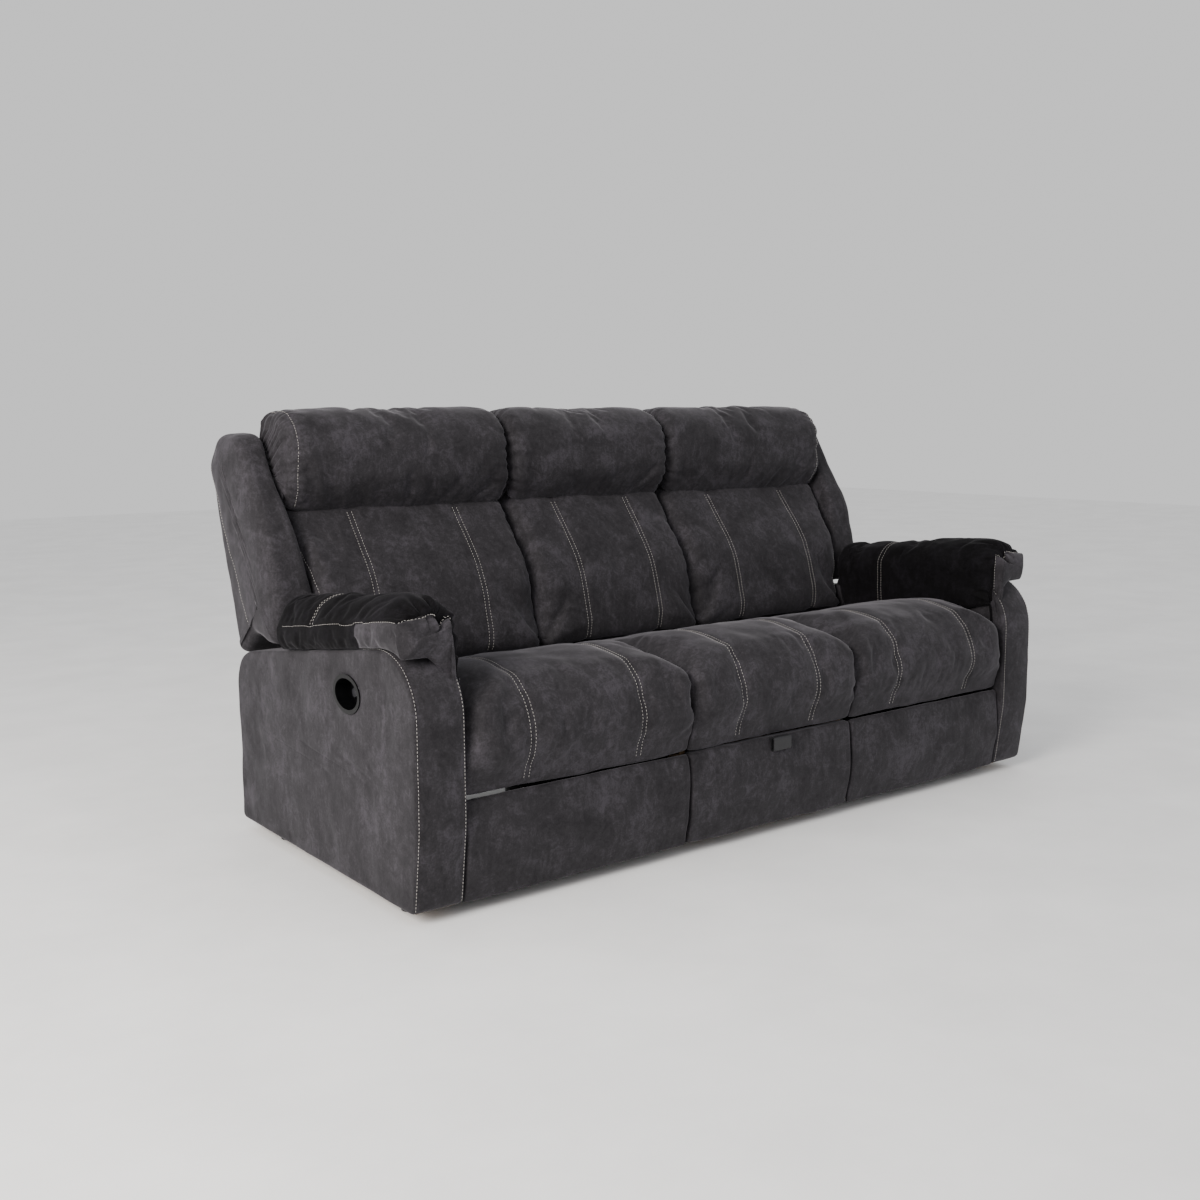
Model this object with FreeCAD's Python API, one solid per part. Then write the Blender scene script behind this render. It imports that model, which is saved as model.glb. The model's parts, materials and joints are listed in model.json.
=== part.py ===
"""Three-seat reclining sofa with a storage drawer under the middle seat.

The frame: origin on the floor at the middle of the sofa's footprint, +Z up,
the sofa faces -Y, +X is to the right of someone who looks at its front.
All lengths are in millimetres.

Outlines of long pieces are drawn in the side view (y, z) and run along X.
A corner is (y, z, radius); a radius of 0 leaves it sharp.
The right-hand seat is modelled and mirrored to make the left-hand one.
"""
import FreeCAD, Part
import math
import os

from FreeCAD import Vector

# Overall sizes
arm_to_arm = 2060.0          # across the outer faces of the two arms
sofa_depth = 1074.0          # front of the seat cushions to the rear of the backs
back_height = 1072.0         # floor to the top of the head rolls
arm_width = 123.0
middle_seat_width = 560.0    # between the two lines where the seats divide
foot_height = 27.0           # the covers end this far above the floor

# Arms
arm_front_setback = 13.0     # the arm's front stands behind the seat's front
arm_rear_setback = 148.0     # the arm's rear stands ahead of the backs' rear
arm_front_height = 594.0     # where the arm's top line would meet its front
arm_rear_height = 463.0      # where the arm's top line would meet its rear
arm_front_round = 137.0
arm_rear_round = 105.0
arm_toe_in = 24.0            # how far the front draws in at the foot
arm_bulge_height = 210.0
arm_foot_round = 12.0
arm_cover_wall = 14.0        # fabric, foam and board together
arm_panel_thick = 15.0
arm_batten = 40.0

# Arm pads
pad_overhang = 15.0          # past the arm's outer face
pad_flap_thick = 27.0        # the part that hangs down inside the arm
pad_flap_drop = 96.0         # below the arm's top line
pad_front_rise = 100.0       # pad thickness over the arm at the front
pad_rear_rise = 131.0        # and at the rear
pad_front_setback = 55.0
pad_rear_gap = 12.0          # to the lumbar cushion behind it

# Release lever and its cup on the arm's outer face
cup_width = 125.0
cup_height = 88.0
cup_setback = 305.0          # cup centre behind the seat's front
cup_drop = 97.1              # cup centre below the arm's top line
cup_depth = 38.0
cup_wall = 2.5
cup_rim_width = 7.0
cup_rim_thick = 3.0
lever_pin_radius = 4.5
lever_hub_radius = 11.0
lever_length = 48.0
lever_half_height = 10.0
lever_thick = 9.0
lever_droop = 25.0           # degrees below level at rest
lever_pin_setback = 31.5     # pin behind the front of the cup's inside
lever_pin_rise = 14.5        # pin above the cup's centre
lever_floor_gap = 6.0        # lever above the cup's floor

# Release cable inside the arm
cable_radius = 3.0
cable_bend = 24.0
cable_low_height = 170.0
cable_hole_gap = 1.0

# Seats
seat_nose_height = 478.0
seat_crown_height = 512.0
seat_rear_height = 414.0
seat_nose_round = 52.0
seat_front_draw = 34.0       # the lower front edge stands behind the nose
seat_crown_setback = 200.0
seat_tuck = 84.0             # how far the cushion runs in under the lumbar
seat_bulge_drop = 18.0       # fullest part of the front below its mid height
seat_flap_gap = 6.0          # cushion's side under the pad's hanging part

# Backs
lumbar_bottom_height = 418.0
lumbar_foot_lead = 461.0     # lumbar's lowest front edge ahead of the backs' rear
lumbar_knee_lead = 402.0
lumbar_knee_height = 640.0
crease_lead = 270.0          # the fold under the head roll
crease_drop = 264.0          # below the top of the head roll
frame_foot_lead = 302.0      # front face of the back frame at its lower end
frame_top_lead = 139.0
frame_top_drop = 172.0
frame_section = 40.0
frame_stile = 25.0
frame_rails = 4
frame_top_gap = 30.0         # top of the frame below the top of the lumbar
cover_lower_height = 125.0
cover_front_gap = 24.0       # rear cover behind the side plates' lugs
cover_top_lead = 111.0       # where the cover meets the roll's underside
cover_shoulder_drop = 82.0
cover_edge_lead = 17.0
cover_edge_drop = 112.0
cover_rear_lead = 161.0      # lower part of the rear cover ahead of its widest
cover_bend_height = 400.0
cover_peak_drop = 182.0      # the widest place of the rear, below the top
cover_peak_flat = 40.0
cover_wall = 5.0
back_side_gap = 1.8          # rear cover to the side plates
roll_front_lead = 309.0
roll_rear_lead = 91.0
roll_mid_drop = 192.0
roll_lower_drop = 122.0
roll_front_slope = 12.0      # top front corner behind the fullest part
roll_back_lead = 107.0
roll_back_drop = 72.0
roll_lift = 1.0              # roll above the lumbar's upper face
cushion_gap = 1.5            # each soft piece stands this far inside its line
soft_clearance = 0.3         # soft or fixed piece to the one that carries it

# Wings, the side bolsters above the arms
wing_inner_low = 2.0         # inner face outside the arm's inner face, at the bottom
wing_inner_high = 48.0       # and at the top
wing_top_drop = 58.0
wing_arm_gap = 28.0          # wing's underside above the arm's top line
wing_front_lead = 397.0
wing_tip_lead = 163.0
lumbar_arm_gap = 3.0         # lumbar's outer side to the arm's inner face
wing_tip_gap = 16.0
wing_foot_rise = 101.0       # lower front corner above the arm's top line
wing_tip_reach = 90.0        # where the underside turns down to the tip
wing_knee_lead = 352.0
wing_knee_drop = 310.0
wing_shoulder_lead = 194.0
wing_corner_lead = 66.0
wing_rear_gap = 2.0          # wing ahead of the backs' rear
wing_step_height = 40.0      # inner face starts to lean this far above the arm
wing_step_drop = 174.0       # and is upright again this far below the top

# Recliner action
seat_travel = 75.0
pivot_lead = 331.0           # back pivot ahead of the backs' rear
pivot_height = 300.0
pivot_pin_radius = 7.0
plate_thick = 3.0
plate_flange = 27.0
plate_top_height = 299.0
plate_front_setback = 112.0
plate_foot_reach = 40.0
slot_clearance = 0.4
rail_drop = 1.0              # seat rail's top below the plate's top
plate_lug_radius = 22.0
guide_height = 280.0
guide_pin_radius = 6.0
guide_front_setback = 207.0
guide_rear_setback = 597.0
running_gap = 2.5            # seat rail to side plate
pin_clearance = 0.1

# Footrest linkage, as lengths behind the seat's front and heights
link_length = 200.0
drive_setback = 143.0
drive_height = 244.0
board_pivot_setback = 75.0
board_pivot_height = 140.0
link_width = 22.0
link_thick = 4.0
link_spacing = 4.0
link_pin_radius = 5.0
drive_tube_radius = 11.0
drive_tube_wall = 2.0

# Front panels: both footrests and the drawer front
panel_top_height = 250.0
panel_gap = 12.0             # up to the seat cushion above
panel_front_setback = 15.0
panel_top_draw = 15.0
panel_foot_draw = 23.0
panel_board_thick = 12.0
panel_back_setback = 57.0    # rear face of the board
panel_side_gap = 2.0
board_margin = 8.0

# Seat frames
frame_setback = 53.0         # behind the seat's front, where the cushion's lip ends
rail_height = 36.0
rail_thick = 4.0
cross_rail = 25.0
tube_wall = 2.0
front_bar_thick = 10.0
front_bar_width = 30.0
spring_wire = 3.5
spring_pitch = 30.0
spring_half_width = 22.0
springs_per_seat = 4

# Base
base_rail_width = 40.0
base_rail_height = 25.0
front_rail_setback = 307.0
rear_rail_lead = 347.0       # ahead of the backs' rear
foot_radius = 25.0
foot_front_setback = 150.0
foot_rear_lead = 304.0
box_panel = 15.0
box_front_setback = 67.0
box_rear_lead = 387.0

# Drawer
drawer_depth = 420.0
drawer_half_width = 245.0
drawer_bottom_height = 60.0
drawer_side_height = 170.0
drawer_wall = 12.0
drawer_floor = 6.0
slide_height = 34.0
slide_thick = 8.0
slide_centre_height = 145.0
runner_wall = 3.0
slide_clearance = 0.3
pull_width = 60.0
pull_offset = 12.0           # the pull hangs a little to the right of centre
pull_drop = 30.0
pull_strap = 2.5
pull_gap = 9.0
pull_standoff = 4.5          # loop ahead of the panel's top edge
pull_tail = 25.0             # sewn length on top of the drawer front

# Places that follow from the sizes
arm_outer = arm_to_arm / 2
arm_inner = arm_outer - arm_width
arm_middle = (arm_outer + arm_inner) / 2
division = middle_seat_width / 2
seat_centre = (arm_inner + division) / 2
seat_half = (arm_inner - division) / 2
front = -sofa_depth / 2
rear = sofa_depth / 2
seat_bottom_height = panel_top_height + panel_gap
plate_inside = seat_half - plate_thick
rail_outside = plate_inside - running_gap
rail_inside = rail_outside - rail_thick
rear_link_outside = rail_inside - link_spacing
front_link_outside = rear_link_outside - link_thick - link_spacing
bracket_outside = front_link_outside - link_thick - link_spacing
pivot_y = rear - pivot_lead
rail_top = plate_top_height - rail_drop
rail_bottom = rail_top - rail_height
seat_base_height = rail_top + spring_wire + soft_clearance
box_top = rail_top
frame_foot = (rear - frame_foot_lead, lumbar_bottom_height + 2.0)
frame_top = (rear - frame_top_lead, back_height - frame_top_drop)
crease = (rear - crease_lead, back_height - crease_drop)


# Outlines and plain solids
def outline(corners):
    """Closed wire in the side view through corners (y, z, radius)."""
    points = [Vector(0, c[0], c[1]) for c in corners]
    count = len(points)
    starts = []
    for i, (here, corner) in enumerate(zip(points, corners)):
        before = points[i - 1] - here
        after = points[(i + 1) % count] - here
        reach = 0.0
        bend = before.getAngle(after)
        if corner[2] > 0:
            reach = corner[2] / math.tan(bend / 2)
            reach = min(reach, 0.48 * before.Length, 0.48 * after.Length)
        starts.append((here, before.normalize(), after.normalize(), reach, bend))
    edges = []
    for i, (here, before, after, reach, bend) in enumerate(starts):
        enter = here + before * reach
        leave = here + after * reach
        if reach > 0:
            radius = reach * math.tan(bend / 2)
            halfway = (before + after).normalize()
            middle = here + halfway * (radius / math.sin(bend / 2) - radius)
            edges.append(Part.Arc(enter, middle, leave).toShape())
        following = starts[(i + 1) % count]
        enter_next = following[0] + following[1] * following[3]
        if leave.distanceToPoint(enter_next) > 1e-6:
            edges.append(Part.LineSegment(leave, enter_next).toShape())
    return Part.Wire(edges)


def prism(corners, x0, x1):
    """Side-view outline run along X from x0 to x1."""
    face = Part.Face(outline(corners))
    face.translate(Vector(x0, 0, 0))
    return face.extrude(Vector(x1 - x0, 0, 0))


def front_prism(corners, y0, y1):
    """Front-view outline of (x, z, radius) corners run along Y."""
    solid = prism(corners, y0, y1)
    turned = solid.copy()
    turned.transformShape(FreeCAD.Matrix(0, 1, 0, 0, 1, 0, 0, 0, 0, 0, 1, 0, 0, 0, 0, 1))
    return turned


def box(x0, x1, y0, y1, z0, z1):
    return Part.makeBox(x1 - x0, y1 - y0, z1 - z0, Vector(x0, y0, z0))


def rod(radius, x0, x1, y, z):
    """Round bar along X."""
    return Part.makeCylinder(radius, x1 - x0, Vector(x0, y, z), Vector(1, 0, 0))


def cross_tube(x0, x1, y, width, z, height):
    """Rectangular tube along X, with its front lower edge at y, z."""
    wall = tube_wall
    inside = box(x0 - 1, x1 + 1, y + wall, y + width - wall, z + wall, z + height - wall)
    return box(x0, x1, y, y + width, z, z + height).cut(inside)


def oval(half_y, half_z, x0, x1, y, z):
    """Elliptic bar along X."""
    face = Part.Face(Part.Wire(Part.Ellipse(Vector(0, 0, 0), half_y, half_z).toShape()))
    bar = face.extrude(Vector(0, 0, x1 - x0))
    bar.rotate(Vector(0, 0, 0), Vector(1, 1, 1), 120)
    bar.translate(Vector(x0, y, z))
    return bar


def link_bar(start, end, x0, x1, half_width, holes):
    """Flat bar with round ends between two (y, z) pivots, with pin holes."""
    length = math.hypot(end[0] - start[0], end[1] - start[1])
    bar = rod(half_width, x0, x1, 0, 0).fuse(rod(half_width, x0, x1, length, 0))
    bar = bar.fuse(box(x0, x1, 0, length, -half_width, half_width)).removeSplitter()
    for at in (0, length):
        bar = bar.cut(rod(holes, x0 - 1, x1 + 1, at, 0))
    angle = math.degrees(math.atan2(end[1] - start[1], end[0] - start[0]))
    bar.rotate(Vector(0, 0, 0), Vector(1, 0, 0), angle)
    bar.translate(Vector(0, start[0], start[1]))
    return bar


def mirrored(solid):
    """The same piece on the other side of the sofa."""
    return solid.mirror(Vector(0, 0, 0), Vector(1, 0, 0))


def both_sides(solids):
    return solids + [mirrored(s) for s in solids]


def save(node, solids):
    """Write one node; a list of solids stays a group of separate ones."""
    if not isinstance(solids, list):
        solids = [solids]
    solids = [s for shape in solids for s in shape.Solids]
    shape = solids[0] if len(solids) == 1 else Part.makeCompound(solids)
    shape.exportStep("parts/" + node + ".step")


def save_pair(node, solids):
    """Write the right-hand node and its mirror image on the left."""
    if not isinstance(solids, list):
        solids = [solids]
    save("right_" + node, solids)
    save("left_" + node, [mirrored(s) for s in solids])


# Lines that several pieces follow
def along(low, high, z):
    """The y of the line from low to high, both (y, z), at height z."""
    return low[0] + (high[0] - low[0]) * (z - low[1]) / (high[1] - low[1])


def arm_front():
    return front + arm_front_setback


def arm_rear():
    return rear - arm_rear_setback


def arm_top(y):
    """Height of the arm's straight top line at y."""
    fall = (arm_front_height - arm_rear_height) / (arm_rear() - arm_front())
    return arm_front_height - fall * (y - arm_front())


def arm_corners(inset, bottom):
    """The arm's side outline, drawn in by inset, down to the height bottom."""
    y0 = arm_front() + inset
    y1 = arm_rear() - inset
    foot_round = arm_foot_round if inset <= 0 else 0
    return [
        (y0 + arm_toe_in, bottom, foot_round),
        (y0, arm_bulge_height, 300),
        (y0, arm_top(y0) - inset, arm_front_round - inset),
        (y1, arm_top(y1) - inset, arm_rear_round - inset),
        (y1, bottom, foot_round),
    ]


def lumbar_front():
    """The lumbar cushion's front face as (y, z): foot, knee and crease."""
    return (
        (rear - lumbar_foot_lead, lumbar_bottom_height),
        (rear - lumbar_knee_lead, lumbar_knee_height),
        crease,
    )


# Arms
def arm_cover():
    """Padded cover over the arm, open underneath, with holes for cup and cable."""
    outer = prism(arm_corners(0, foot_height), arm_inner, arm_outer)
    hollow = prism(
        arm_corners(arm_cover_wall, foot_height - 1),
        arm_inner + arm_cover_wall,
        arm_outer - arm_cover_wall,
    )
    cover = outer.cut(hollow)
    y, z = cup_centre()
    cover = cover.cut(
        oval(cup_body_half()[0] + soft_clearance, cup_body_half()[1] + soft_clearance,
             arm_outer - arm_cover_wall - 1, arm_outer + 1, y, z)
    )
    return cover.cut(cable_hole(arm_inner - 1, arm_inner + arm_cover_wall + 1))


def arm_frame():
    """Board panel of the arm with posts and rails that fill the arm's width."""
    x0 = arm_inner + arm_cover_wall + soft_clearance
    x1 = arm_outer - arm_cover_wall - soft_clearance
    shape = arm_cover_wall + soft_clearance
    panel = prism(arm_corners(shape, foot_height), x0, x0 + arm_panel_thick)
    ring = prism(arm_corners(shape, foot_height), x0, x1)
    inside = prism(
        arm_corners(shape + arm_batten, foot_height + arm_batten),
        x0 + arm_panel_thick,
        x1 + 1,
    )
    frame = panel.fuse(ring.cut(inside)).removeSplitter()
    return frame.cut(cable_hole(x0 - 1, x0 + arm_panel_thick + 1))


def arm_pad():
    """Pillow on the arm's top; its inner side hangs down beside the seat."""
    low, knee, _ = lumbar_front()
    z_rear = arm_top(low[0])
    y_rear = along(low, knee, z_rear) - pad_rear_gap
    y_front = front + pad_front_setback
    top_rear = arm_top(y_rear) + pad_rear_rise
    top_front = arm_top(y_front) + pad_front_rise
    x0 = arm_inner - pad_flap_thick
    lean = (knee[0] - low[0]) / (knee[1] - low[1])
    pillow = prism(
        [
            (y_rear, z_rear, 0),
            (y_rear + lean * pad_rear_rise, top_rear, 42),
            (y_front + 70, top_front, 90),
            (y_front, top_front - 45, 60),
            (y_front, arm_top(y_front) - 75, 25),
        ],
        x0,
        arm_outer + pad_overhang,
    )
    pillow = pillow.cut(prism(arm_corners(-soft_clearance, 0), x0 - 1, arm_outer + 100))
    y_flap = y_rear - lean * pad_flap_drop
    flap = prism(
        [
            (y_flap, arm_top(y_flap) - pad_flap_drop, 20),
            (y_rear, z_rear + 30, 0),
            (y_front, arm_top(y_front) + 10, 0),
            (y_front, arm_top(y_front) - pad_flap_drop, 30),
        ],
        x0,
        arm_inner - soft_clearance,
    )
    return pillow.fuse(flap).removeSplitter()


# Release lever
def cup_centre():
    y = front + cup_setback
    return y, arm_top(y) - cup_drop


def cup_body_half():
    return cup_width / 2 - cup_rim_width, cup_height / 2 - cup_rim_width


def lever_pivot():
    """The lever turns on a pin near the cup's front upper corner."""
    y, z = cup_centre()
    return y - cup_body_half()[0] + lever_pin_setback, z + lever_pin_rise


def lever_cup():
    y, z = cup_centre()
    half_y, half_z = cup_body_half()
    face = arm_outer
    floor = face - cup_depth
    rim = oval(cup_width / 2, cup_height / 2, face, face + cup_rim_thick, y, z)
    body = oval(half_y, half_z, floor, face + 0.5, y, z)
    hollow = oval(half_y - cup_wall, half_z - cup_wall, floor + cup_wall,
                  face + cup_rim_thick + 1, y, z)
    cup = rim.fuse(body).cut(hollow)
    pin_y, pin_z = lever_pivot()
    return cup.fuse(rod(lever_pin_radius, floor + 1, face - 8, pin_y, pin_z)).removeSplitter()


def lever():
    """Hub on the cup's pin with a finger paddle that points to the rear."""
    y, z = lever_pivot()
    x0 = arm_outer - cup_depth + cup_wall + lever_floor_gap
    x1 = x0 + lever_thick
    bore = lever_pin_radius + pin_clearance
    paddle = prism(
        [
            (0, -lever_half_height, 4),
            (lever_length, -lever_half_height, 8),
            (lever_length, lever_half_height, 8),
            (0, lever_half_height, 4),
        ],
        x0 + 2,
        x1 - 2,
    )
    hub = rod(lever_hub_radius, x0, x1, 0, 0)
    arm = hub.fuse(paddle).removeSplitter().cut(rod(bore, x0 - 1, x1 + 1, 0, 0))
    arm.rotate(Vector(0, 0, 0), Vector(1, 0, 0), -lever_droop)
    arm.translate(Vector(0, y, z))
    return arm


def cable_hole(x0, x1):
    return rod(cable_radius + cable_hole_gap, x0, x1, cup_centre()[0], cable_low_height)


def release_cable():
    """Cable in its sheath, from the cup's back down to the seat's side plate."""
    y = cup_centre()[0]
    x_cup = arm_outer - cup_depth
    x_down = arm_inner + arm_cover_wall + arm_panel_thick + cable_radius + cable_bend
    z_up = cup_centre()[1]
    z_low = cable_low_height
    bend = min(cable_bend, 0.9 * (x_cup - x_down))
    half = bend * (1 - math.sqrt(0.5))
    upper = [Vector(x_down + bend, y, z_up), Vector(x_down + half, y, z_up - half),
             Vector(x_down, y, z_up - bend)]
    lower = [Vector(x_down, y, z_low + bend), Vector(x_down - half, y, z_low + half),
             Vector(x_down - bend, y, z_low)]
    start = Vector(x_cup, y, z_up)
    end = Vector(arm_inner, y, z_low)
    path = Part.Wire([
        Part.LineSegment(start, upper[0]).toShape(),
        Part.Arc(*upper).toShape(),
        Part.LineSegment(upper[2], lower[0]).toShape(),
        Part.Arc(*lower).toShape(),
        Part.LineSegment(lower[2], end).toShape(),
    ])
    section = Part.Wire(Part.Circle(start, Vector(1, 0, 0), cable_radius).toShape())
    return path.makePipeShell([section], True, False)


# Seats
def seat_rear():
    """The cushion's hidden rear end, under the lumbar cushion."""
    return lumbar_front()[0][0] + seat_tuck


def seat_corners():
    return [
        (front + seat_front_draw, seat_bottom_height, 5),
        (front, (seat_bottom_height + seat_nose_height) / 2 - seat_bulge_drop, 110),
        (front, seat_nose_height - 6, seat_nose_round),
        (front + seat_crown_setback, seat_crown_height, 320),
        (lumbar_front()[0][0] - 8, seat_rear_height + 2, 60),
        (seat_rear(), seat_rear_height - 4, 20),
        (seat_rear(), seat_base_height, 12),
        (front + frame_setback - 2, seat_base_height, 0),
        (front + frame_setback - 2, seat_bottom_height, 5),
    ]


def seat_cushion():
    """Cushion between the division and the arm, lower beside the arm's pad."""
    inner = division + cushion_gap
    flap_side = arm_inner - pad_flap_thick - cushion_gap
    block = prism(seat_corners(), inner, flap_side)
    edge = prism(seat_corners(), flap_side - 1, arm_inner - cushion_gap - 1)
    drop = pad_flap_drop + seat_flap_gap
    below = prism(
        [
            (front, 0, 0),
            (front, arm_top(front) - drop, 0),
            (rear, arm_top(rear) - drop, 0),
            (rear, 0, 0),
        ],
        flap_side - 2,
        arm_inner,
    )
    return block.fuse(edge.common(below)).removeSplitter()


def middle_seat_cushion():
    return prism(seat_corners(), -division + cushion_gap, division - cushion_gap)


def drive_pivot():
    return front + drive_setback, drive_height


def seat_frame():
    """Side rails with lugs for the drive tube, joined by cross rails."""
    y0 = front + frame_setback
    y1 = seat_rear() - 8
    y, z = drive_pivot()
    lug = 16.0
    side = [
        (y0, rail_top - front_bar_thick, 0),
        (y0, rail_top, 0),
        (y1, rail_top, 0),
        (y1, rail_bottom, 0),
        (y + 50, rail_bottom, 10),
        (y + lug + 4, z - 4, 6),
        (y, z - lug, 12),
        (y - lug - 4, z - 4, 6),
        (y - 45, rail_bottom + 12, 10),
    ]
    x_in = rail_inside
    frame = box(-x_in, x_in, y0, y0 + front_bar_width, rail_top - front_bar_thick, rail_top)
    for start in (y + lug + 12, y1 - cross_rail):
        frame = frame.fuse(cross_tube(-x_in, x_in, start, cross_rail, rail_bottom, rail_height))
    for sign in (-1, 1):
        x0, x1 = sorted((sign * rail_inside, sign * rail_outside))
        rail = prism(side, x0, x1)
        rail = rail.cut(rod(link_pin_radius + pin_clearance, x0 - 1, x1 + 1, y, z))
        frame = frame.fuse(rail)
    frame = frame.removeSplitter()
    frame.translate(Vector(seat_centre, 0, 0))
    return frame


def spring(x, y0, y1, z):
    """Flat zigzag spring: straight runs across, joined by half circles."""
    count = int((y1 - y0) / spring_pitch)
    turn = spring_pitch / 2
    run = spring_half_width - turn
    edges = []
    y = y0
    side = 1
    for _ in range(count):
        left, right = Vector(x - side * run, y, z), Vector(x + side * run, y, z)
        edges.append(Part.LineSegment(left, right).toShape())
        edges.append(Part.Arc(
            right,
            Vector(x + side * spring_half_width, y + turn, z),
            Vector(x + side * run, y + spring_pitch, z),
        ).toShape())
        y += spring_pitch
        side = -side
    left, right = Vector(x - side * run, y, z), Vector(x + side * run, y, z)
    edges.append(Part.LineSegment(left, right).toShape())
    start = Vector(x - run, y0, z)
    section = Part.Wire(Part.Circle(start, Vector(1, 0, 0), spring_wire / 2).toShape())
    return Part.Wire(edges).makePipeShell([section], True, False)


def seat_springs(centre, half_width, y_front, y_rear):
    """A row of springs that rest on the frame's front and rear members."""
    z = rail_top + spring_wire / 2
    step = 2 * half_width / (springs_per_seat + 1)
    one = spring(0, y_front, y_rear, z)
    row = []
    for i in range(springs_per_seat):
        copy = one.copy()
        copy.translate(Vector(centre - half_width + step * (i + 1), 0, 0))
        row.append(copy)
    return row


def seat_pins():
    """Guide pins on the seat's rails, which run in the side plates' slots."""
    pins = []
    for sign in (-1, 1):
        for setback in (guide_front_setback, guide_rear_setback):
            x0, x1 = sorted((sign * rail_outside, sign * (seat_half - 0.5)))
            pins.append(rod(guide_pin_radius, seat_centre + x0, seat_centre + x1,
                            front + setback, guide_height))
    return pins


# Mechanism side plates, one each side of each outer seat
def side_plates():
    y0 = front + plate_front_setback
    y1 = pivot_y + plate_lug_radius
    web = [
        (y0, foot_height, 0),
        (y0, plate_top_height, 8),
        (pivot_y - plate_lug_radius - 4, plate_top_height, 3),
        (pivot_y - plate_lug_radius, pivot_height + plate_lug_radius, 18),
        (y1, pivot_height + plate_lug_radius, 18),
        (y1 + plate_foot_reach, foot_height, 0),
    ]
    slot_half = guide_pin_radius + slot_clearance
    plates = []
    for sign in (-1, 1):
        x0, x1 = sorted((sign * plate_inside, sign * seat_half))
        plate = prism(web, x0, x1)
        for setback in (guide_front_setback, guide_rear_setback):
            y = front + setback
            plate = plate.cut(rod(slot_half, x0 - 1, x1 + 1, y, guide_height))
            plate = plate.cut(rod(slot_half, x0 - 1, x1 + 1, y - seat_travel, guide_height))
            plate = plate.cut(box(x0 - 1, x1 + 1, y - seat_travel, y,
                                  guide_height - slot_half, guide_height + slot_half))
        bore = pivot_pin_radius + pin_clearance
        plate = plate.cut(rod(bore, x0 - 1, x1 + 1, pivot_y, pivot_height))
        x2, x3 = sorted((sign * (seat_half - plate_flange), sign * seat_half))
        plate = plate.fuse(box(x2, x3, y0, y1 + plate_foot_reach,
                               foot_height, foot_height + plate_thick))
        plate = plate.removeSplitter()
        plate.translate(Vector(seat_centre, 0, 0))
        plates.append(plate)
    return both_sides(plates)


def back_pivot_pins():
    """Pins fixed in the side plates; the backs' brackets turn on them."""
    pins = []
    for sign in (-1, 1):
        x0, x1 = sorted((sign * (frame_reach(back_half()) - 2), sign * (seat_half - 0.2)))
        pins.append(moved(rod(pivot_pin_radius, x0, x1, pivot_y, pivot_height), seat_centre))
    return both_sides(pins)


# Backs
def frame_line(z):
    """The y of the back frame's front face at height z."""
    return along(frame_foot, frame_top, z)


def back_half():
    """Half width of an outer back's rear cover, between the side plates' lugs."""
    return plate_inside - back_side_gap


def frame_reach(half_width):
    """Half length of the back frame's rails, inside cover and brackets."""
    return half_width - cover_wall - soft_clearance - link_thick


def cover_corners(inset):
    """Side outline of the back's rear cover; inset draws the rear side in."""
    front_low = pivot_y + plate_lug_radius + cover_front_gap
    top_y = rear - roll_rear_lead + 1
    shoulder = back_height - cover_shoulder_drop - inset
    return [
        (front_low, cover_lower_height + inset, 0),
        (front_low, frame_foot[1], 0),
        (frame_line(frame_foot[1] + 1), frame_foot[1] + 1, 0),
        (frame_top[0], frame_top[1], 0),
        (rear - cover_top_lead, back_height - roll_lower_drop + 1, 0),
        (top_y, shoulder, 4),
        (rear - cover_edge_lead - inset, back_height - cover_edge_drop - inset, 40),
        (rear - inset, back_height - cover_peak_drop + cover_peak_flat / 2, 60),
        (rear - inset, back_height - cover_peak_drop - cover_peak_flat / 2, 60),
        (rear - cover_rear_lead - inset, cover_bend_height, 220),
        (rear - cover_rear_lead - inset, cover_lower_height + inset, 0),
    ]


def back_cover(half_width):
    """Rear cover as a tray: rear, both sides and a lower edge, open in front."""
    solid = prism(cover_corners(0), -half_width, half_width)
    hollow = prism(cover_corners(cover_wall), -half_width + cover_wall, half_width - cover_wall)
    opening = hollow.copy()
    opening.translate(Vector(0, -30, 0))
    return solid.cut(hollow).cut(opening.common(prism(
        [
            (pivot_y, cover_lower_height + cover_wall, 0),
            (pivot_y, frame_foot[1] + 2, 0),
            (frame_foot[0] - 20, frame_foot[1] + 2, 0),
            (frame_top[0] - 20, frame_top[1], 0),
            (frame_top[0] + 20, frame_top[1], 0),
            (frame_foot[0] + 60, cover_lower_height + cover_wall, 0),
        ],
        -half_width + cover_wall,
        half_width - cover_wall,
    )))


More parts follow.
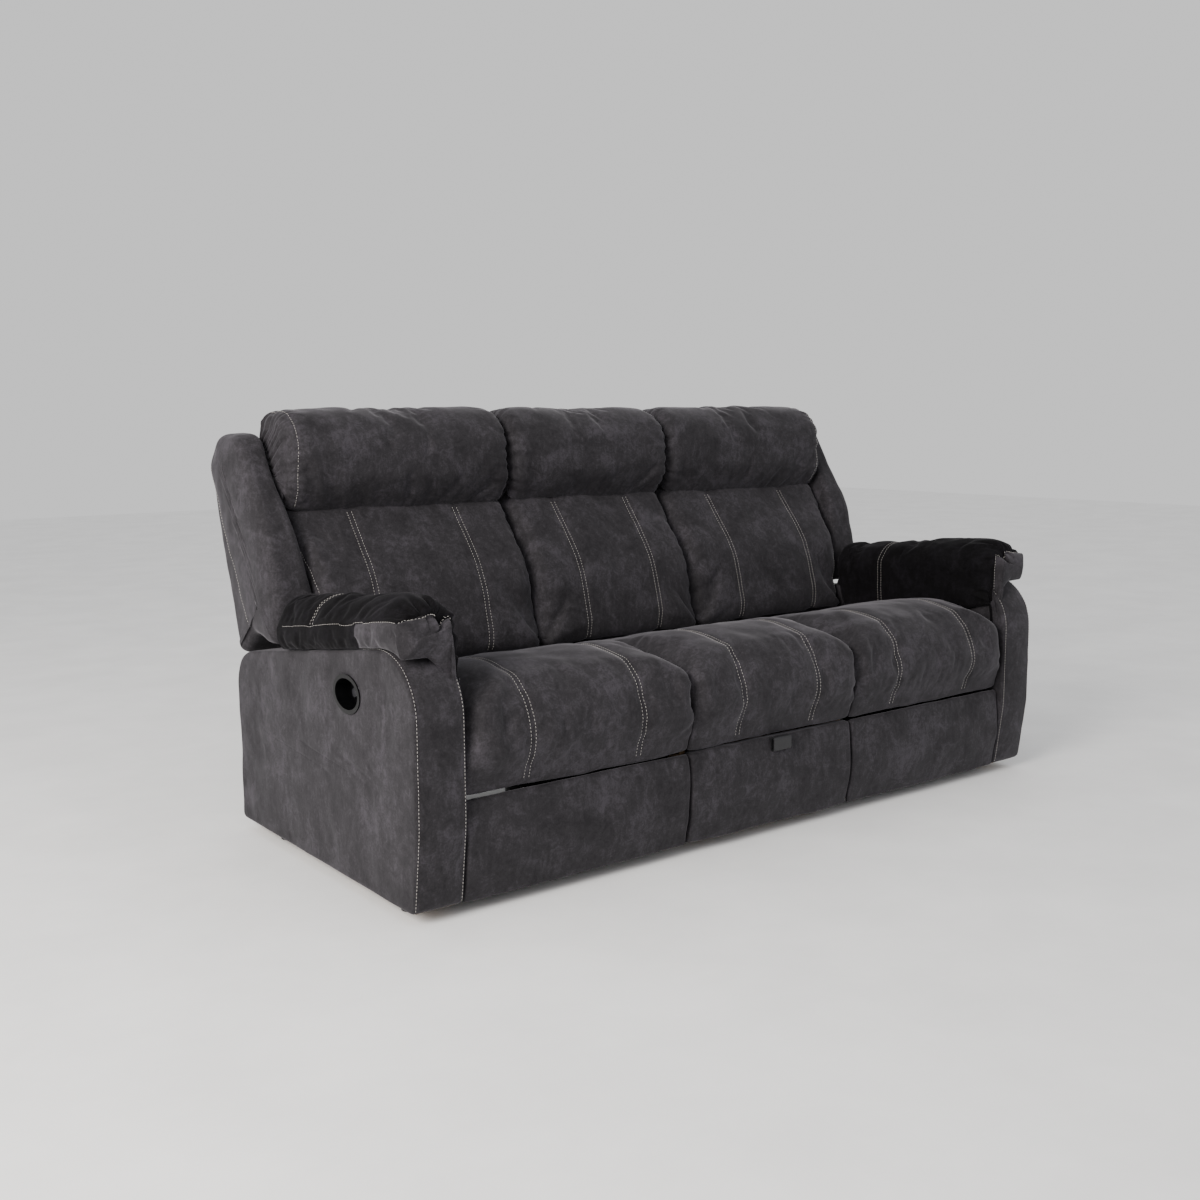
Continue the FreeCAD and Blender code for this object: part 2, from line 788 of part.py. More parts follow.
def back_frame(half_width, foot):
    """Two leaning stiles and five rails; foot adds legs down to the base."""
    reach = frame_reach(half_width)
    stile_out = reach - 8
    top_z = frame_top[1] - frame_top_gap
    low_z = frame_foot[1] + 4
    lean = (frame_line(top_z) - frame_line(low_z)) / (top_z - low_z)
    thick = frame_section
    stile = [
        (frame_line(low_z) + soft_clearance, low_z, 0),
        (frame_line(top_z) + soft_clearance, top_z, 0),
        (frame_line(top_z) + thick, top_z, 0),
        (frame_line(low_z) + thick, low_z, 0),
    ]
    frame = None
    for sign in (-1, 1):
        x0, x1 = sorted((sign * stile_out, sign * (stile_out - frame_stile)))
        post = prism(stile, x0, x1)
        if foot:
            y0 = rear - rear_rail_lead
            leg = prism(
                [
                    (y0, foot_height + plate_thick + base_rail_height, 0),
                    (y0, pivot_height, 0),
                    (frame_line(low_z) + soft_clearance, lumbar_bottom_height - 2, 0),
                    (frame_line(low_z) + soft_clearance, low_z + 1, 0),
                    (frame_line(low_z) + thick, low_z + 1, 0),
                    (y0 + base_rail_width, pivot_height, 0),
                    (y0 + base_rail_width, foot_height + plate_thick + base_rail_height, 0),
                ],
                x0,
                x1,
            )
            post = post.fuse(leg)
        frame = post if frame is None else frame.fuse(post)
    for i in range(frame_rails):
        z0 = low_z + i * (top_z - low_z - thick) / (frame_rails - 1)
        rail = prism(
            [
                (frame_line(z0) + soft_clearance, z0, 0),
                (frame_line(z0 + thick) + soft_clearance, z0 + thick, 0),
                (frame_line(z0 + thick) + thick, z0 + thick, 0),
                (frame_line(z0) + thick, z0, 0),
            ],
            -reach,
            reach,
        )
        frame = frame.fuse(rail)
    return frame.removeSplitter()


def back_brackets():
    """Steel arms from the frame's lowest rail down to the pivot pins."""
    low_z = frame_foot[1] + 4
    top_z = low_z + frame_section - 4
    x_in = frame_reach(back_half())
    shape = [
        (frame_line(low_z) + soft_clearance, low_z, 0),
        (frame_line(top_z) + soft_clearance, top_z, 0),
        (frame_line(top_z) + frame_section - 4, top_z, 0),
        (frame_line(low_z) + frame_section - 4, low_z, 25),
        (pivot_y + 20, pivot_height, 14),
        (pivot_y + 6, pivot_height - 18, 12),
        (pivot_y - 18, pivot_height - 6, 12),
        (pivot_y - 16, pivot_height + 14, 10),
        (frame_line(low_z) - 8, lumbar_bottom_height - 12, 20),
        (frame_line(low_z) + soft_clearance, lumbar_bottom_height - 2, 0),
    ]
    arms = []
    for sign in (-1, 1):
        x0, x1 = sorted((sign * x_in, sign * (x_in + link_thick)))
        arm = prism(shape, x0, x1)
        bore = pivot_pin_radius + pin_clearance
        arm = arm.cut(rod(bore, x0 - 1, x1 + 1, pivot_y, pivot_height))
        arms.append(moved(arm, seat_centre))
    return arms


def lumbar_corners():
    foot_point, knee, top = lumbar_front()
    behind = soft_clearance
    return [
        (foot_point[0], foot_point[1], 22),
        (knee[0], knee[1], 300),
        (top[0], top[1], 8),
        (frame_top[0] - 6, frame_top[1] - 2, 6),
        (frame_line(frame_top[1] - 12) - behind, frame_top[1] - 12, 0),
        (frame_line(lumbar_bottom_height + 3) - behind, lumbar_bottom_height + 3, 0),
        (frame_line(lumbar_bottom_height + 3) - behind, lumbar_bottom_height, 0),
    ]


def lumbar_top(y):
    """Height of the lumbar's upper face, which the head roll lies on."""
    slope = (frame_top[1] - 2 - crease[1]) / (frame_top[0] - 6 - crease[0])
    return crease[1] + slope * (y - crease[0])


def roll_corners():
    """Head roll: the thick pillow that hangs over the top of the back."""
    y0 = rear - roll_front_lead
    low_front = crease[0] + 3
    low_rear = frame_top[0] - 8
    return [
        (low_front, lumbar_top(low_front) + roll_lift, 8),
        (y0, back_height - roll_mid_drop, 48),
        (y0 + roll_front_slope, back_height, 95),
        (rear - roll_back_lead, back_height, 55),
        (rear - roll_rear_lead, back_height - roll_back_drop, 30),
        (rear - cover_top_lead - 1, back_height - roll_lower_drop, 25),
        (low_rear, lumbar_top(low_rear) + roll_lift, 10),
    ]


def wing_step():
    """Heights between which the wing's inner face leans outwards."""
    return arm_top(pivot_y) + wing_step_height, back_height - wing_step_drop


def outer_edge():
    """Front outline of the lumbar and roll beside the wing, for a common cut."""
    low, high = wing_step()
    x_low = arm_inner - lumbar_arm_gap
    x_high = arm_inner + wing_inner_high - soft_clearance
    return [
        (0, 0, 0),
        (x_low, 0, 0),
        (x_low, low, 0),
        (x_high, high, 0),
        (x_high, 2 * back_height, 0),
        (0, 2 * back_height, 0),
    ]


def beside_wing(corners):
    """A soft back piece of an outer seat, from the division to the wing."""
    block = prism(corners, division + cushion_gap, arm_inner + wing_inner_high)
    return block.common(front_prism(outer_edge(), front, rear + 1))


def wing():
    """Side bolster: follows the back's lean and stays clear of the arm."""
    y_front = rear - wing_front_lead
    y_under = rear - wing_tip_lead - wing_tip_reach
    y_tip = rear - wing_tip_lead
    top = back_height - wing_top_drop
    side = [
        (y_front, arm_top(y_front) + wing_foot_rise, 20),
        (y_front + 25, arm_top(y_front + 25) + wing_arm_gap + 22, 25),
        (y_under, arm_top(y_under) + wing_arm_gap + 16, 60),
        (y_tip, arm_top(y_tip) - wing_tip_gap, 10),
        (rear - wing_rear_gap, back_height - cover_peak_drop + cover_peak_flat, 60),
        (rear - wing_corner_lead, top, 55),
        (rear - wing_shoulder_lead, top, 60),
        (rear - wing_knee_lead, back_height - wing_knee_drop, 160),
    ]
    block = prism(side, arm_inner, arm_outer)
    low, high = wing_step()
    x_low = arm_inner + wing_inner_low
    x_high = arm_inner + wing_inner_high
    inner = front_prism(
        [
            (x_low, 0, 0),
            (x_low, low, 0),
            (x_high, high, 0),
            (x_high, 2 * back_height, 0),
            (arm_outer + 1, 2 * back_height, 0),
            (arm_outer + 1, 0, 0),
        ],
        front,
        rear + 1,
    )
    return block.common(inner)


def moved(solid, x):
    solid.translate(Vector(x, 0, 0))
    return solid


# Footrests
def board_pivot():
    return front + board_pivot_setback, board_pivot_height


def elbow():
    """Where the two links meet when the footrest is stowed: low and to the rear."""
    y0, z0 = drive_pivot()
    y1, z1 = board_pivot()
    apart = math.hypot(y1 - y0, z1 - z0)
    bulge = math.sqrt(link_length ** 2 - (apart / 2) ** 2)
    across = ((z0 - z1) / apart, -(y0 - y1) / apart)
    return (y0 + y1) / 2 + across[0] * bulge, (z0 + z1) / 2 + across[1] * bulge


def rear_links():
    """Drive tube with a link welded at each end, and the stubs it turns on."""
    y, z = drive_pivot()
    inside = rear_link_outside - link_thick
    tube = rod(drive_tube_radius, -inside, inside, y, z)
    tube = tube.cut(rod(drive_tube_radius - drive_tube_wall, -inside, inside, y, z))
    for sign in (-1, 1):
        x0, x1 = sorted((sign * inside, sign * rear_link_outside))
        bar = link_bar(drive_pivot(), elbow(), x0, x1, link_width / 2,
                       link_pin_radius + pin_clearance)
        bar = bar.fuse(rod(link_pin_radius + 0.5, x0, x1, y, z))
        s0, s1 = sorted((sign * (rear_link_outside - 1), sign * (rail_outside - 1)))
        bar = bar.fuse(rod(link_pin_radius, s0, s1, y, z))
        tube = tube.fuse(bar)
    return moved(tube.removeSplitter(), seat_centre)


def front_links():
    inside = front_link_outside - link_thick
    bars = []
    for sign in (-1, 1):
        x0, x1 = sorted((sign * inside, sign * front_link_outside))
        bar = link_bar(elbow(), board_pivot(), x0, x1, link_width / 2,
                       link_pin_radius + pin_clearance)
        bars.append(moved(bar, seat_centre))
    return bars


def link_pins():
    """Rivets at both ends of each front link."""
    pins = []
    for sign in (-1, 1):
        for (y, z), outer in ((elbow(), rear_link_outside), (board_pivot(), front_link_outside)):
            reach = 2 * link_thick + link_spacing + 1
            x0, x1 = sorted((sign * (outer + 1), sign * (outer - reach)))
            pins.append(moved(rod(link_pin_radius, x0, x1, y, z), seat_centre))
    return pins


def panel_board():
    return front + panel_back_setback - panel_board_thick, front + panel_back_setback


def panel_corners(behind):
    """Padded front panel: fullest at mid height, drawn in at top and foot."""
    y0 = front + panel_front_setback
    return [
        (behind, foot_height, 0),
        (y0 + panel_foot_draw, foot_height, 5),
        (y0, (foot_height + panel_top_height) / 2, 400),
        (y0 + panel_top_draw, panel_top_height, 9),
        (behind, panel_top_height, 0),
    ]


def footrest_board():
    y0, y1 = panel_board()
    half = seat_half - panel_side_gap - board_margin
    board = box(-half, half, y0, y1, foot_height + board_margin, panel_top_height - board_margin)
    return moved(board, seat_centre)


def footrest_pad():
    half = seat_half - panel_side_gap
    return moved(prism(panel_corners(panel_board()[0] - soft_clearance), -half, half), seat_centre)


def footrest_brackets():
    """Ears on the board's back that carry it on the front links."""
    y_board = panel_board()[1]
    y, z = board_pivot()
    half_height = 35.0
    brackets = []
    for sign in (-1, 1):
        x0, x1 = sorted((sign * (bracket_outside - link_thick), sign * bracket_outside))
        ear = prism(
            [
                (y_board, z - half_height, 0),
                (y_board, z + half_height, 0),
                (y_board + 4, z + half_height, 2),
                (y + 14, z + 8, 10),
                (y + 14, z - 8, 10),
                (y_board + 4, z - half_height, 2),
            ],
            x0,
            x1,
        )
        foot0, foot1 = sorted((sign * (bracket_outside - 26), sign * bracket_outside))
        ear = ear.fuse(box(foot0, foot1, y_board, y_board + plate_thick,
                           z - half_height, z + half_height))
        ear = ear.cut(rod(link_pin_radius + pin_clearance, x0 - 1, x1 + 1, y, z))
        brackets.append(moved(ear.removeSplitter(), seat_centre))
    return brackets


# Base and middle seat
def base_rails():
    z0 = foot_height + plate_thick
    spans = [
        (-arm_inner + plate_thick, -division - plate_thick),
        (-division, division),
        (division + plate_thick, arm_inner - plate_thick),
    ]
    rails = []
    for y0 in (front + front_rail_setback, rear - rear_rail_lead):
        for x0, x1 in spans:
            rails.append(cross_tube(x0, x1, y0, base_rail_width, z0, base_rail_height))
    return rails


def feet():
    pads = []
    for y in (front + foot_front_setback, rear - foot_rear_lead):
        for x in (arm_middle, division + plate_flange / 2):
            pads.append(Part.makeCylinder(foot_radius, foot_height, Vector(x, y, 0)))
    return both_sides(pads)


def middle_box():
    """Board box that carries the middle seat and houses the drawer."""
    z0 = foot_height + plate_thick + base_rail_height
    y0 = front + box_front_setback
    y1 = rear - box_rear_lead
    x1 = division
    x0 = division - box_panel
    shell = box(-x1, x1, y1 - box_panel, y1, z0, box_top)
    for a, b in ((-x1, -x0), (x0, x1)):
        shell = shell.fuse(box(a, b, y0, y1, z0, box_top))
    return shell.removeSplitter()


def middle_seat_frame():
    """Front and rear rails between the box's sides; the springs lie on them."""
    half = division - box_panel
    y0 = front + box_front_setback
    y1 = rear - box_rear_lead - box_panel
    return [
        box(-half, half, y0, y0 + cross_rail, rail_bottom, rail_top),
        box(-half, half, y1 - cross_rail, y1, rail_bottom, rail_top),
    ]


def drawer_front():
    y1 = panel_board()[1]
    half = division - panel_side_gap
    return prism(panel_corners(y1), -half, half)


def drawer_box():
    y0 = panel_board()[1]
    y1 = y0 + drawer_depth
    z0 = drawer_bottom_height
    z1 = z0 + drawer_side_height
    half = drawer_half_width
    inside = half - drawer_wall
    outer = box(-half, half, y0, y1, z0, z1)
    return outer.cut(box(-inside, inside, y0 + drawer_wall, y1 - drawer_wall,
                         z0 + drawer_floor, z1 + 1))


def drawer_slides():
    y0 = panel_board()[1] + 8
    bars = []
    for sign in (-1, 1):
        x0, x1 = sorted((sign * drawer_half_width, sign * (drawer_half_width + slide_thick)))
        bars.append(box(x0, x1, y0, y0 + drawer_depth - 20,
                        slide_centre_height - slide_height / 2, slide_centre_height + slide_height / 2))
    return bars


def drawer_runners():
    """Channels on the box's inner sides, open towards the drawer."""
    wall_x = division - box_panel
    y0 = front + box_front_setback + 4
    y1 = panel_board()[1] + drawer_depth
    half = slide_height / 2 + slide_clearance
    channels = []
    for sign in (-1, 1):
        x0, x1 = sorted((sign * wall_x, sign * (drawer_half_width + 1.5)))
        h0, h1 = sorted((sign * (wall_x - runner_wall), sign * drawer_half_width))
        channel = box(x0, x1, y0, y1, slide_centre_height - half - runner_wall,
                      slide_centre_height + half + runner_wall)
        channels.append(channel.cut(box(h0, h1, y0 - 1, y1 + 1,
                                        slide_centre_height - half, slide_centre_height + half)))
    return channels


def drawer_pull():
    """Webbing loop sewn to the top of the drawer front."""
    y_face = front + panel_front_setback + panel_top_draw
    y1 = y_face - pull_standoff
    y0 = y1 - pull_gap - 2 * pull_strap
    z1 = panel_top_height + pull_strap + 4
    z0 = panel_top_height - pull_drop
    x0 = pull_offset - pull_width / 2
    x1 = pull_offset + pull_width / 2
    t = pull_strap
    outer = prism([(y0, z0, 7), (y0, z1, 7), (y1, z1, 7), (y1, z0, 7)], x0, x1)
    inner = prism([(y0 + t, z0 + t, 4), (y0 + t, z1 - t, 4),
                   (y1 - t, z1 - t, 4), (y1 - t, z0 + t, 4)], x0 - 1, x1 + 1)
    tail = box(x0, x1, y1 - t, y_face + pull_tail, panel_top_height, panel_top_height + t)
    return outer.cut(inner).fuse(tail).removeSplitter()


def build():
    os.makedirs("parts", exist_ok=True)
    save_pair("arm_cover", arm_cover())
    save_pair("arm_frame", arm_frame())
    save_pair("arm_pad", arm_pad())
    save_pair("lever_cup", lever_cup())
    save_pair("lever", lever())
    save("release_cables", both_sides([release_cable()]))
    save("side_plates", side_plates())
    save("back_pivot_pins", back_pivot_pins())
    save("base_rails", base_rails())
    save("feet", feet())

    save_pair("seat_cushion", seat_cushion())
    save_pair("seat_frame", seat_frame())
    spring_front = front + 60
    save_pair("seat_springs", seat_springs(seat_centre, rail_inside, spring_front, seat_rear() - 12))
    save_pair("seat_pins", seat_pins())

    half = back_half()
    save_pair("back_cover", moved(back_cover(half), seat_centre))
    save_pair("back_frame", moved(back_frame(half, False), seat_centre))
    save_pair("back_brackets", back_brackets())
    save_pair("lumbar_cushion", beside_wing(lumbar_corners()))
    save_pair("head_roll", beside_wing(roll_corners()))
    save_pair("wing", wing())

    save_pair("rear_links", rear_links())
    save_pair("front_links", front_links())
    save_pair("link_pins", link_pins())
    save_pair("footrest_board", footrest_board())
    save_pair("footrest_pad", footrest_pad())
    save_pair("footrest_brackets", footrest_brackets())

    middle = division - (seat_half - half)
    soft = division - cushion_gap
    save("middle_box", middle_box())
    save("middle_seat_frame", middle_seat_frame())
    save("middle_seat_springs", seat_springs(0, division - box_panel,
                                             front + box_front_setback + 4,
                                             rear - box_rear_lead - box_panel - 4))
    save("middle_seat_cushion", middle_seat_cushion())
    save("middle_back_cover", back_cover(middle))
    save("middle_back_frame", back_frame(middle, True))
    save("middle_lumbar_cushion", prism(lumbar_corners(), -soft, soft))
    save("middle_head_roll", prism(roll_corners(), -soft, soft))

    save("drawer_front", drawer_front())
    save("drawer_box", drawer_box())
    save("drawer_slides", drawer_slides())
    save("drawer_runners", drawer_runners())
    save("drawer_pull", drawer_pull())


build()
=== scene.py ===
"""Looks of the three-seat reclining sofa: polished microfibre with contrast stitching.

Shapes are worked out in millimetres in the sofa's own frame, and every mesh is written
in metres. The right-hand pieces are worked out first and mirrored to the left.
"""

import json
import math

import bpy
import numpy as np
from mathutils import Matrix, Vector
from mathutils.bvhtree import BVHTree


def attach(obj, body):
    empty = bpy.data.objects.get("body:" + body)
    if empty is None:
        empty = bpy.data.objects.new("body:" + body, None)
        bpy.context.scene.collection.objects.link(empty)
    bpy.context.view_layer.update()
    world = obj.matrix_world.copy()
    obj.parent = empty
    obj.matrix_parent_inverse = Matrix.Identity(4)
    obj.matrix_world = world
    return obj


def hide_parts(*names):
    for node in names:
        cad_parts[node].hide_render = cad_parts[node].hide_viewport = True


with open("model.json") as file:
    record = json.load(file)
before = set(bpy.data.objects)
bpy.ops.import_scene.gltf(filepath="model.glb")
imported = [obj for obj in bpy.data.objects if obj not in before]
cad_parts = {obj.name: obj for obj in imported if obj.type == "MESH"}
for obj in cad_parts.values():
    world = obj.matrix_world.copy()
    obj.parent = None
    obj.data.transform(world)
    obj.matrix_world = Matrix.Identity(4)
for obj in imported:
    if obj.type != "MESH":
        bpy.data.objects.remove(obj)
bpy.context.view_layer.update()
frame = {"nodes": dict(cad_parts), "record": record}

# Sizes of the sofa, in mm: X to the right, Y to the rear and Z up
FRONT, REAR = -537.0, 537.0
HEM = 28.0  # lower edge of the covers, over the floor
PANEL_TOP = 253.5  # upper edge of the footrests' and the drawer's covers
DIVISION, GAP = 280.0, 1.5  # from the middle to a division, and from there to a cushion
SEAT_CENTRE = 593.5
ARM_INNER, ARM_OUTER = 907.0, 1030.0
ARM_FRONT, ARM_REAR = -524.0, 389.0
ARM_FRONT_HEIGHT, ARM_REAR_HEIGHT = 594.0, 463.0
ARM_ROUND = 137.0  # radius of the arm's top front corner
PAD_FRONT, PAD_REAR = -482.0, 88.0
PAD_REAR_DEPTH = 560.0  # from the pad's front to where its rear end is drawn in
PAD_SEAM, PAD_CROWN = 58.0, 124.0  # over the arm's top
PAD_HANG = -93.0  # lower edge beside the seat, from the arm's top
PAD_FLAP = 904.9  # the pad's part that hangs beside the seat is inside this x
CUP_Y, CUP_Z = -232.0, 455.0
CUP_HALF_LENGTH, CUP_HALF_HEIGHT = 62.5, 44.0
PITCH = 8.0  # from one stitch to the next
STITCH = 4.9  # length of thread that shows
SHORTEST, LONGEST = 1.0, 9.0  # stitches outside these lengths are left out
RINGS, SIDES = 4, 5  # of the tube that draws a stitch
TWIN = 13.0  # between the two rows of a twin-needle seam


def arm_top(y):
    """Height of the arm's straight top line."""
    fall = (ARM_FRONT_HEIGHT - ARM_REAR_HEIGHT) / (ARM_REAR - ARM_FRONT)
    return ARM_FRONT_HEIGHT - fall * (y - ARM_FRONT)


def leant(z):
    """How far the backs' support has leant to the rear at a height, from its foot at 424 mm."""
    return 0.34 * (z - 424)


# Lines and surfaces
def rounded_line(corners, count):
    """Closed outline through (a, b, radius) corners at `count` even steps; each corner is an arc
    tangent to its two sides, and the steps are even in length along the line."""
    points = [np.array(c[:2], float) for c in corners]
    pieces = []
    for i, here in enumerate(points):
        back, ahead = points[i - 1] - here, points[(i + 1) % len(points)] - here
        before, after = np.linalg.norm(back), np.linalg.norm(ahead)
        back, ahead = back / before, ahead / after
        bend = math.acos(np.clip(back @ ahead, -1, 1))
        reach = min(corners[i][2] / math.tan(bend / 2), 0.48 * before, 0.48 * after)
        radius = reach * math.tan(bend / 2)
        halfway = (back + ahead) / np.linalg.norm(back + ahead)
        centre = here + halfway * radius / math.sin(bend / 2)
        first, last = here + back * reach - centre, here + ahead * reach - centre
        start = math.atan2(first[1], first[0])
        turn = (math.atan2(last[1], last[0]) - start + math.pi) % (2 * math.pi) - math.pi
        angle = start + turn * np.linspace(0, 1, 12)
        pieces.append(centre + radius * np.stack([np.cos(angle), np.sin(angle)], 1))
    line = np.concatenate(pieces + [pieces[0][:1]])
    length = np.concatenate([[0], np.cumsum(np.linalg.norm(np.diff(line, axis=0), axis=1))])
    at = np.linspace(0, length[-1], count, endpoint=False)
    return np.stack([np.interp(at, length, line[:, k]) for k in (0, 1)], 1)


def outward(line):
    """Unit normals of a closed outline, pointing away from the area it encloses."""
    along = np.roll(line, -1, 0) - np.roll(line, 1, 0)
    normal = np.stack([along[:, 1], -along[:, 0]], 1)
    area = (line[:, 0] * np.roll(line[:, 1], -1) - line[:, 1] * np.roll(line[:, 0], -1)).sum()
    return normal * np.sign(area) / np.linalg.norm(along, axis=1)[:, None]


def run_along(line):
    """Length along a closed outline up to each of its places, and its whole length."""
    step = np.linalg.norm(np.roll(line, -1, 0) - line, axis=1)
    return np.concatenate([[0], np.cumsum(step)[:-1]]), step.sum()


def near_spine(points, spine):
    """For each point, the nearest place on the straight line between the two spine points."""
    a, b = np.array(spine[0], float), np.array(spine[1], float)
    share = np.clip((points - a) @ (b - a) / ((b - a) @ (b - a)), 0, 1)
    return a + share[..., None] * (b - a)


def cushion(corners, low, high, edge, cap, spine, around, across, weight=None, walls=6):
    """Filled cushion that runs along X. Column by column the side outline is drawn in at the two
    ends by a quarter circle, offset = edge * (1 - sin a) at x = edge * (1 - cos a); each end wall
    is the outline drawn to its spine, pushed out by cap * (1 - (1 - t)^2).
    low and high give the ends' x for arrays of (y, z). Returns the grid of points, ring by ring,
    with the length along the outline for every point, and its depth: the distance from the
    nearer end, or on an end wall -100 times the share of the way to the spine."""
    line = rounded_line(corners, around)
    normal = outward(line)
    weight = np.ones(around) if weight is None else weight(line[:, 0], line[:, 1])
    angle = np.linspace(0, math.pi / 2, 6)
    share = np.linspace(0, 1, across)[1:-1]
    wall = np.linspace(0.93, 0, walls, endpoint=False) ** 1.25

    def end(limit, sign, radius, bulge):
        """Rings and depths of one end, from the middle of its wall to the full outline."""
        made, deep = [], []

        def add_ring(flat, inwards, depth):
            y, z = flat.T
            made.append(np.stack([limit(y, z) + sign * inwards, y, z], 1))
            deep.append(np.full(around, depth))

        flat = line - normal * (radius * weight)[:, None]
        to_spine = near_spine(flat, spine) - flat
        for t in wall:
            add_ring(flat + t * to_spine, -bulge * (1 - (1 - t) ** 2), -100 * t)
        for a in angle:
            inwards = radius * (1 - math.cos(a))
            offset = radius * (1 - math.sin(a)) * weight
            add_ring(line - normal * offset[:, None], inwards, inwards)
        return made, deep

    first, first_deep = end(low, 1, edge[0], cap[0])
    last, last_deep = end(high, -1, edge[1], cap[1])
    x0, x1 = low(line[:, 0], line[:, 1]) + edge[0], high(line[:, 0], line[:, 1]) - edge[1]
    middle = [np.stack([x0 + s * (x1 - x0), line[:, 0], line[:, 1]], 1) for s in share]
    middle_deep = [np.minimum(edge[0] + s * (x1 - x0), edge[1] + (1 - s) * (x1 - x0))
                   for s in share]
    depth = np.stack(first_deep + middle_deep + last_deep[::-1])
    along, length = run_along(line)
    return {"points": np.stack(first + middle + last[::-1]), "depth": depth, "line": line,
            "along": np.broadcast_to(along, depth.shape), "length": length}


def normals(points):
    """Outward unit normals of a grid of closed rings: the cross product of the steps along and
    across the rings, turned away from the grid's middle line."""
    around = np.roll(points, -1, 1) - np.roll(points, 1, 1)
    across = np.gradient(points, axis=0)
    normal = np.cross(around, across)
    normal /= np.maximum(np.linalg.norm(normal, axis=2, keepdims=True), 1e-9)
    middle = points.mean(1, keepdims=True)
    sign = np.sign(((points - middle) * normal)[5:-5].sum())
    return normal * sign


def swell_out(points, height, depth, axis=0):
    """Move every point along its normal by height, in mm; on the end walls, where depth is below
    zero, straight out along the axis that they face. Along X no point passes the ends."""
    normal = normals(points)
    straight = np.zeros_like(points)
    straight[..., axis] = np.sign(points[..., axis] - points[..., axis].mean())
    normal = np.where((depth < -0.5)[..., None], straight, normal)
    moved = points + normal * height[..., None]
    if axis == 0:
        ends = points[..., 0][depth <= 0]
        moved[..., 0] = np.clip(moved[..., 0], ends.min(), ends.max())
    return moved


# Creases, seams and folds, as heights over a surface
def uneven(points, size, seed):
    """Smooth unevenness between about -1 and 1: twelve plane waves in seeded directions with
    wavelengths round `size` mm, added and divided by the root of their number."""
    rng = np.random.default_rng(seed)
    total = np.zeros(points.shape[:-1])
    for _ in range(12):
        direction = rng.normal(size=3)
        direction /= np.linalg.norm(direction)
        wave = size * rng.uniform(0.7, 1.6)
        total += np.sin(points @ direction * 2 * math.pi / wave + rng.uniform(0, 2 * math.pi))
    return total / math.sqrt(12)


def groove(distance, depth, width):
    """Valley of a sewn seam: depth times a bell curve of the distance from it."""
    return -depth * np.exp(-(distance / width) ** 2)


def gathers(depth_from_end, along, seed, start, stop, pitch, reach, size, slant=0.0):
    """Puckers where cloth is gathered into a seam, one about every `pitch` mm from start to stop.
    Each is a valley, about `size` mm deep, that starts at the seam, runs inwards for about
    `reach` mm with a seeded slant and dies away; a lower ridge stands beside it."""
    rng = np.random.default_rng(seed)
    total = np.zeros(along.shape)
    inward = np.maximum(depth_from_end, 0)
    at = start + pitch * rng.uniform(0.2, 0.8)
    while at < stop:
        lean = slant + rng.normal(0, 0.25)
        run = reach * rng.uniform(0.45, 1.25)
        width = rng.uniform(0.16, 0.26) * pitch
        deep = size * rng.uniform(0.5, 1.2)
        fade = np.clip(1 - inward / run, 0, 1) ** 1.4
        off = along - at - lean * inward - 0.0009 * rng.normal() * inward ** 2
        total += fade * deep * (0.55 * np.exp(-((off - 2.1 * width) / (1.3 * width)) ** 2)
                                - np.exp(-(off / width) ** 2))
        at += pitch * rng.uniform(0.6, 1.5)
    return total


def creases(points, rows):
    """Long soft creases: each row is (start, end, width, depth) with 3-D ends; the height is a
    valley along the straight line between them that fades to both ends."""
    total = np.zeros(points.shape[:-1])
    for start, stop, width, deep in rows:
        a, b = np.array(start, float), np.array(stop, float)
        share = (points - a) @ (b - a) / ((b - a) @ (b - a))
        away = np.linalg.norm(points - a - np.clip(share, 0, 1)[..., None] * (b - a), axis=-1)
        fade = np.clip(np.sin(math.pi * np.clip(share, 0, 1)), 0, 1) ** 0.6
        total -= deep * fade * np.exp(-(away / width) ** 2)
    return total


def to_line(a, b, path):
    """Distance in a plane from every point (a, b) to an open line through the path's points."""
    best = np.full(a.shape, 1e9)
    for (a0, b0), (a1, b1) in zip(path, path[1:]):
        da, db = a1 - a0, b1 - b0
        share = np.clip(((a - a0) * da + (b - b0) * db) / (da * da + db * db), 0, 1)
        best = np.minimum(best, np.hypot(a - a0 - share * da, b - b0 - share * db))
    return best


# Meshes
def placed(name, data):
    """A new object in the scene for a mesh, curve, light or camera."""
    thing = bpy.data.objects.new(name, data)
    bpy.context.scene.collection.objects.link(thing)
    return thing


def smooth_piece(name, points, faces, materials=()):
    """A smooth-shaded mesh from points in mm and its faces."""
    mesh = bpy.data.meshes.new(name)
    mesh.from_pydata((points.reshape(-1, 3) / 1000).tolist(), [], faces)
    for material in materials:
        mesh.materials.append(material)
    mesh.polygons.foreach_set("use_smooth", np.ones(len(mesh.polygons), bool))
    return placed(name, mesh)


def read(items, name, kind, width=1):
    """One property of all of a mesh's items, as a flat array."""
    values = np.empty(len(items) * width, kind)
    items.foreach_get(name, values)
    return values


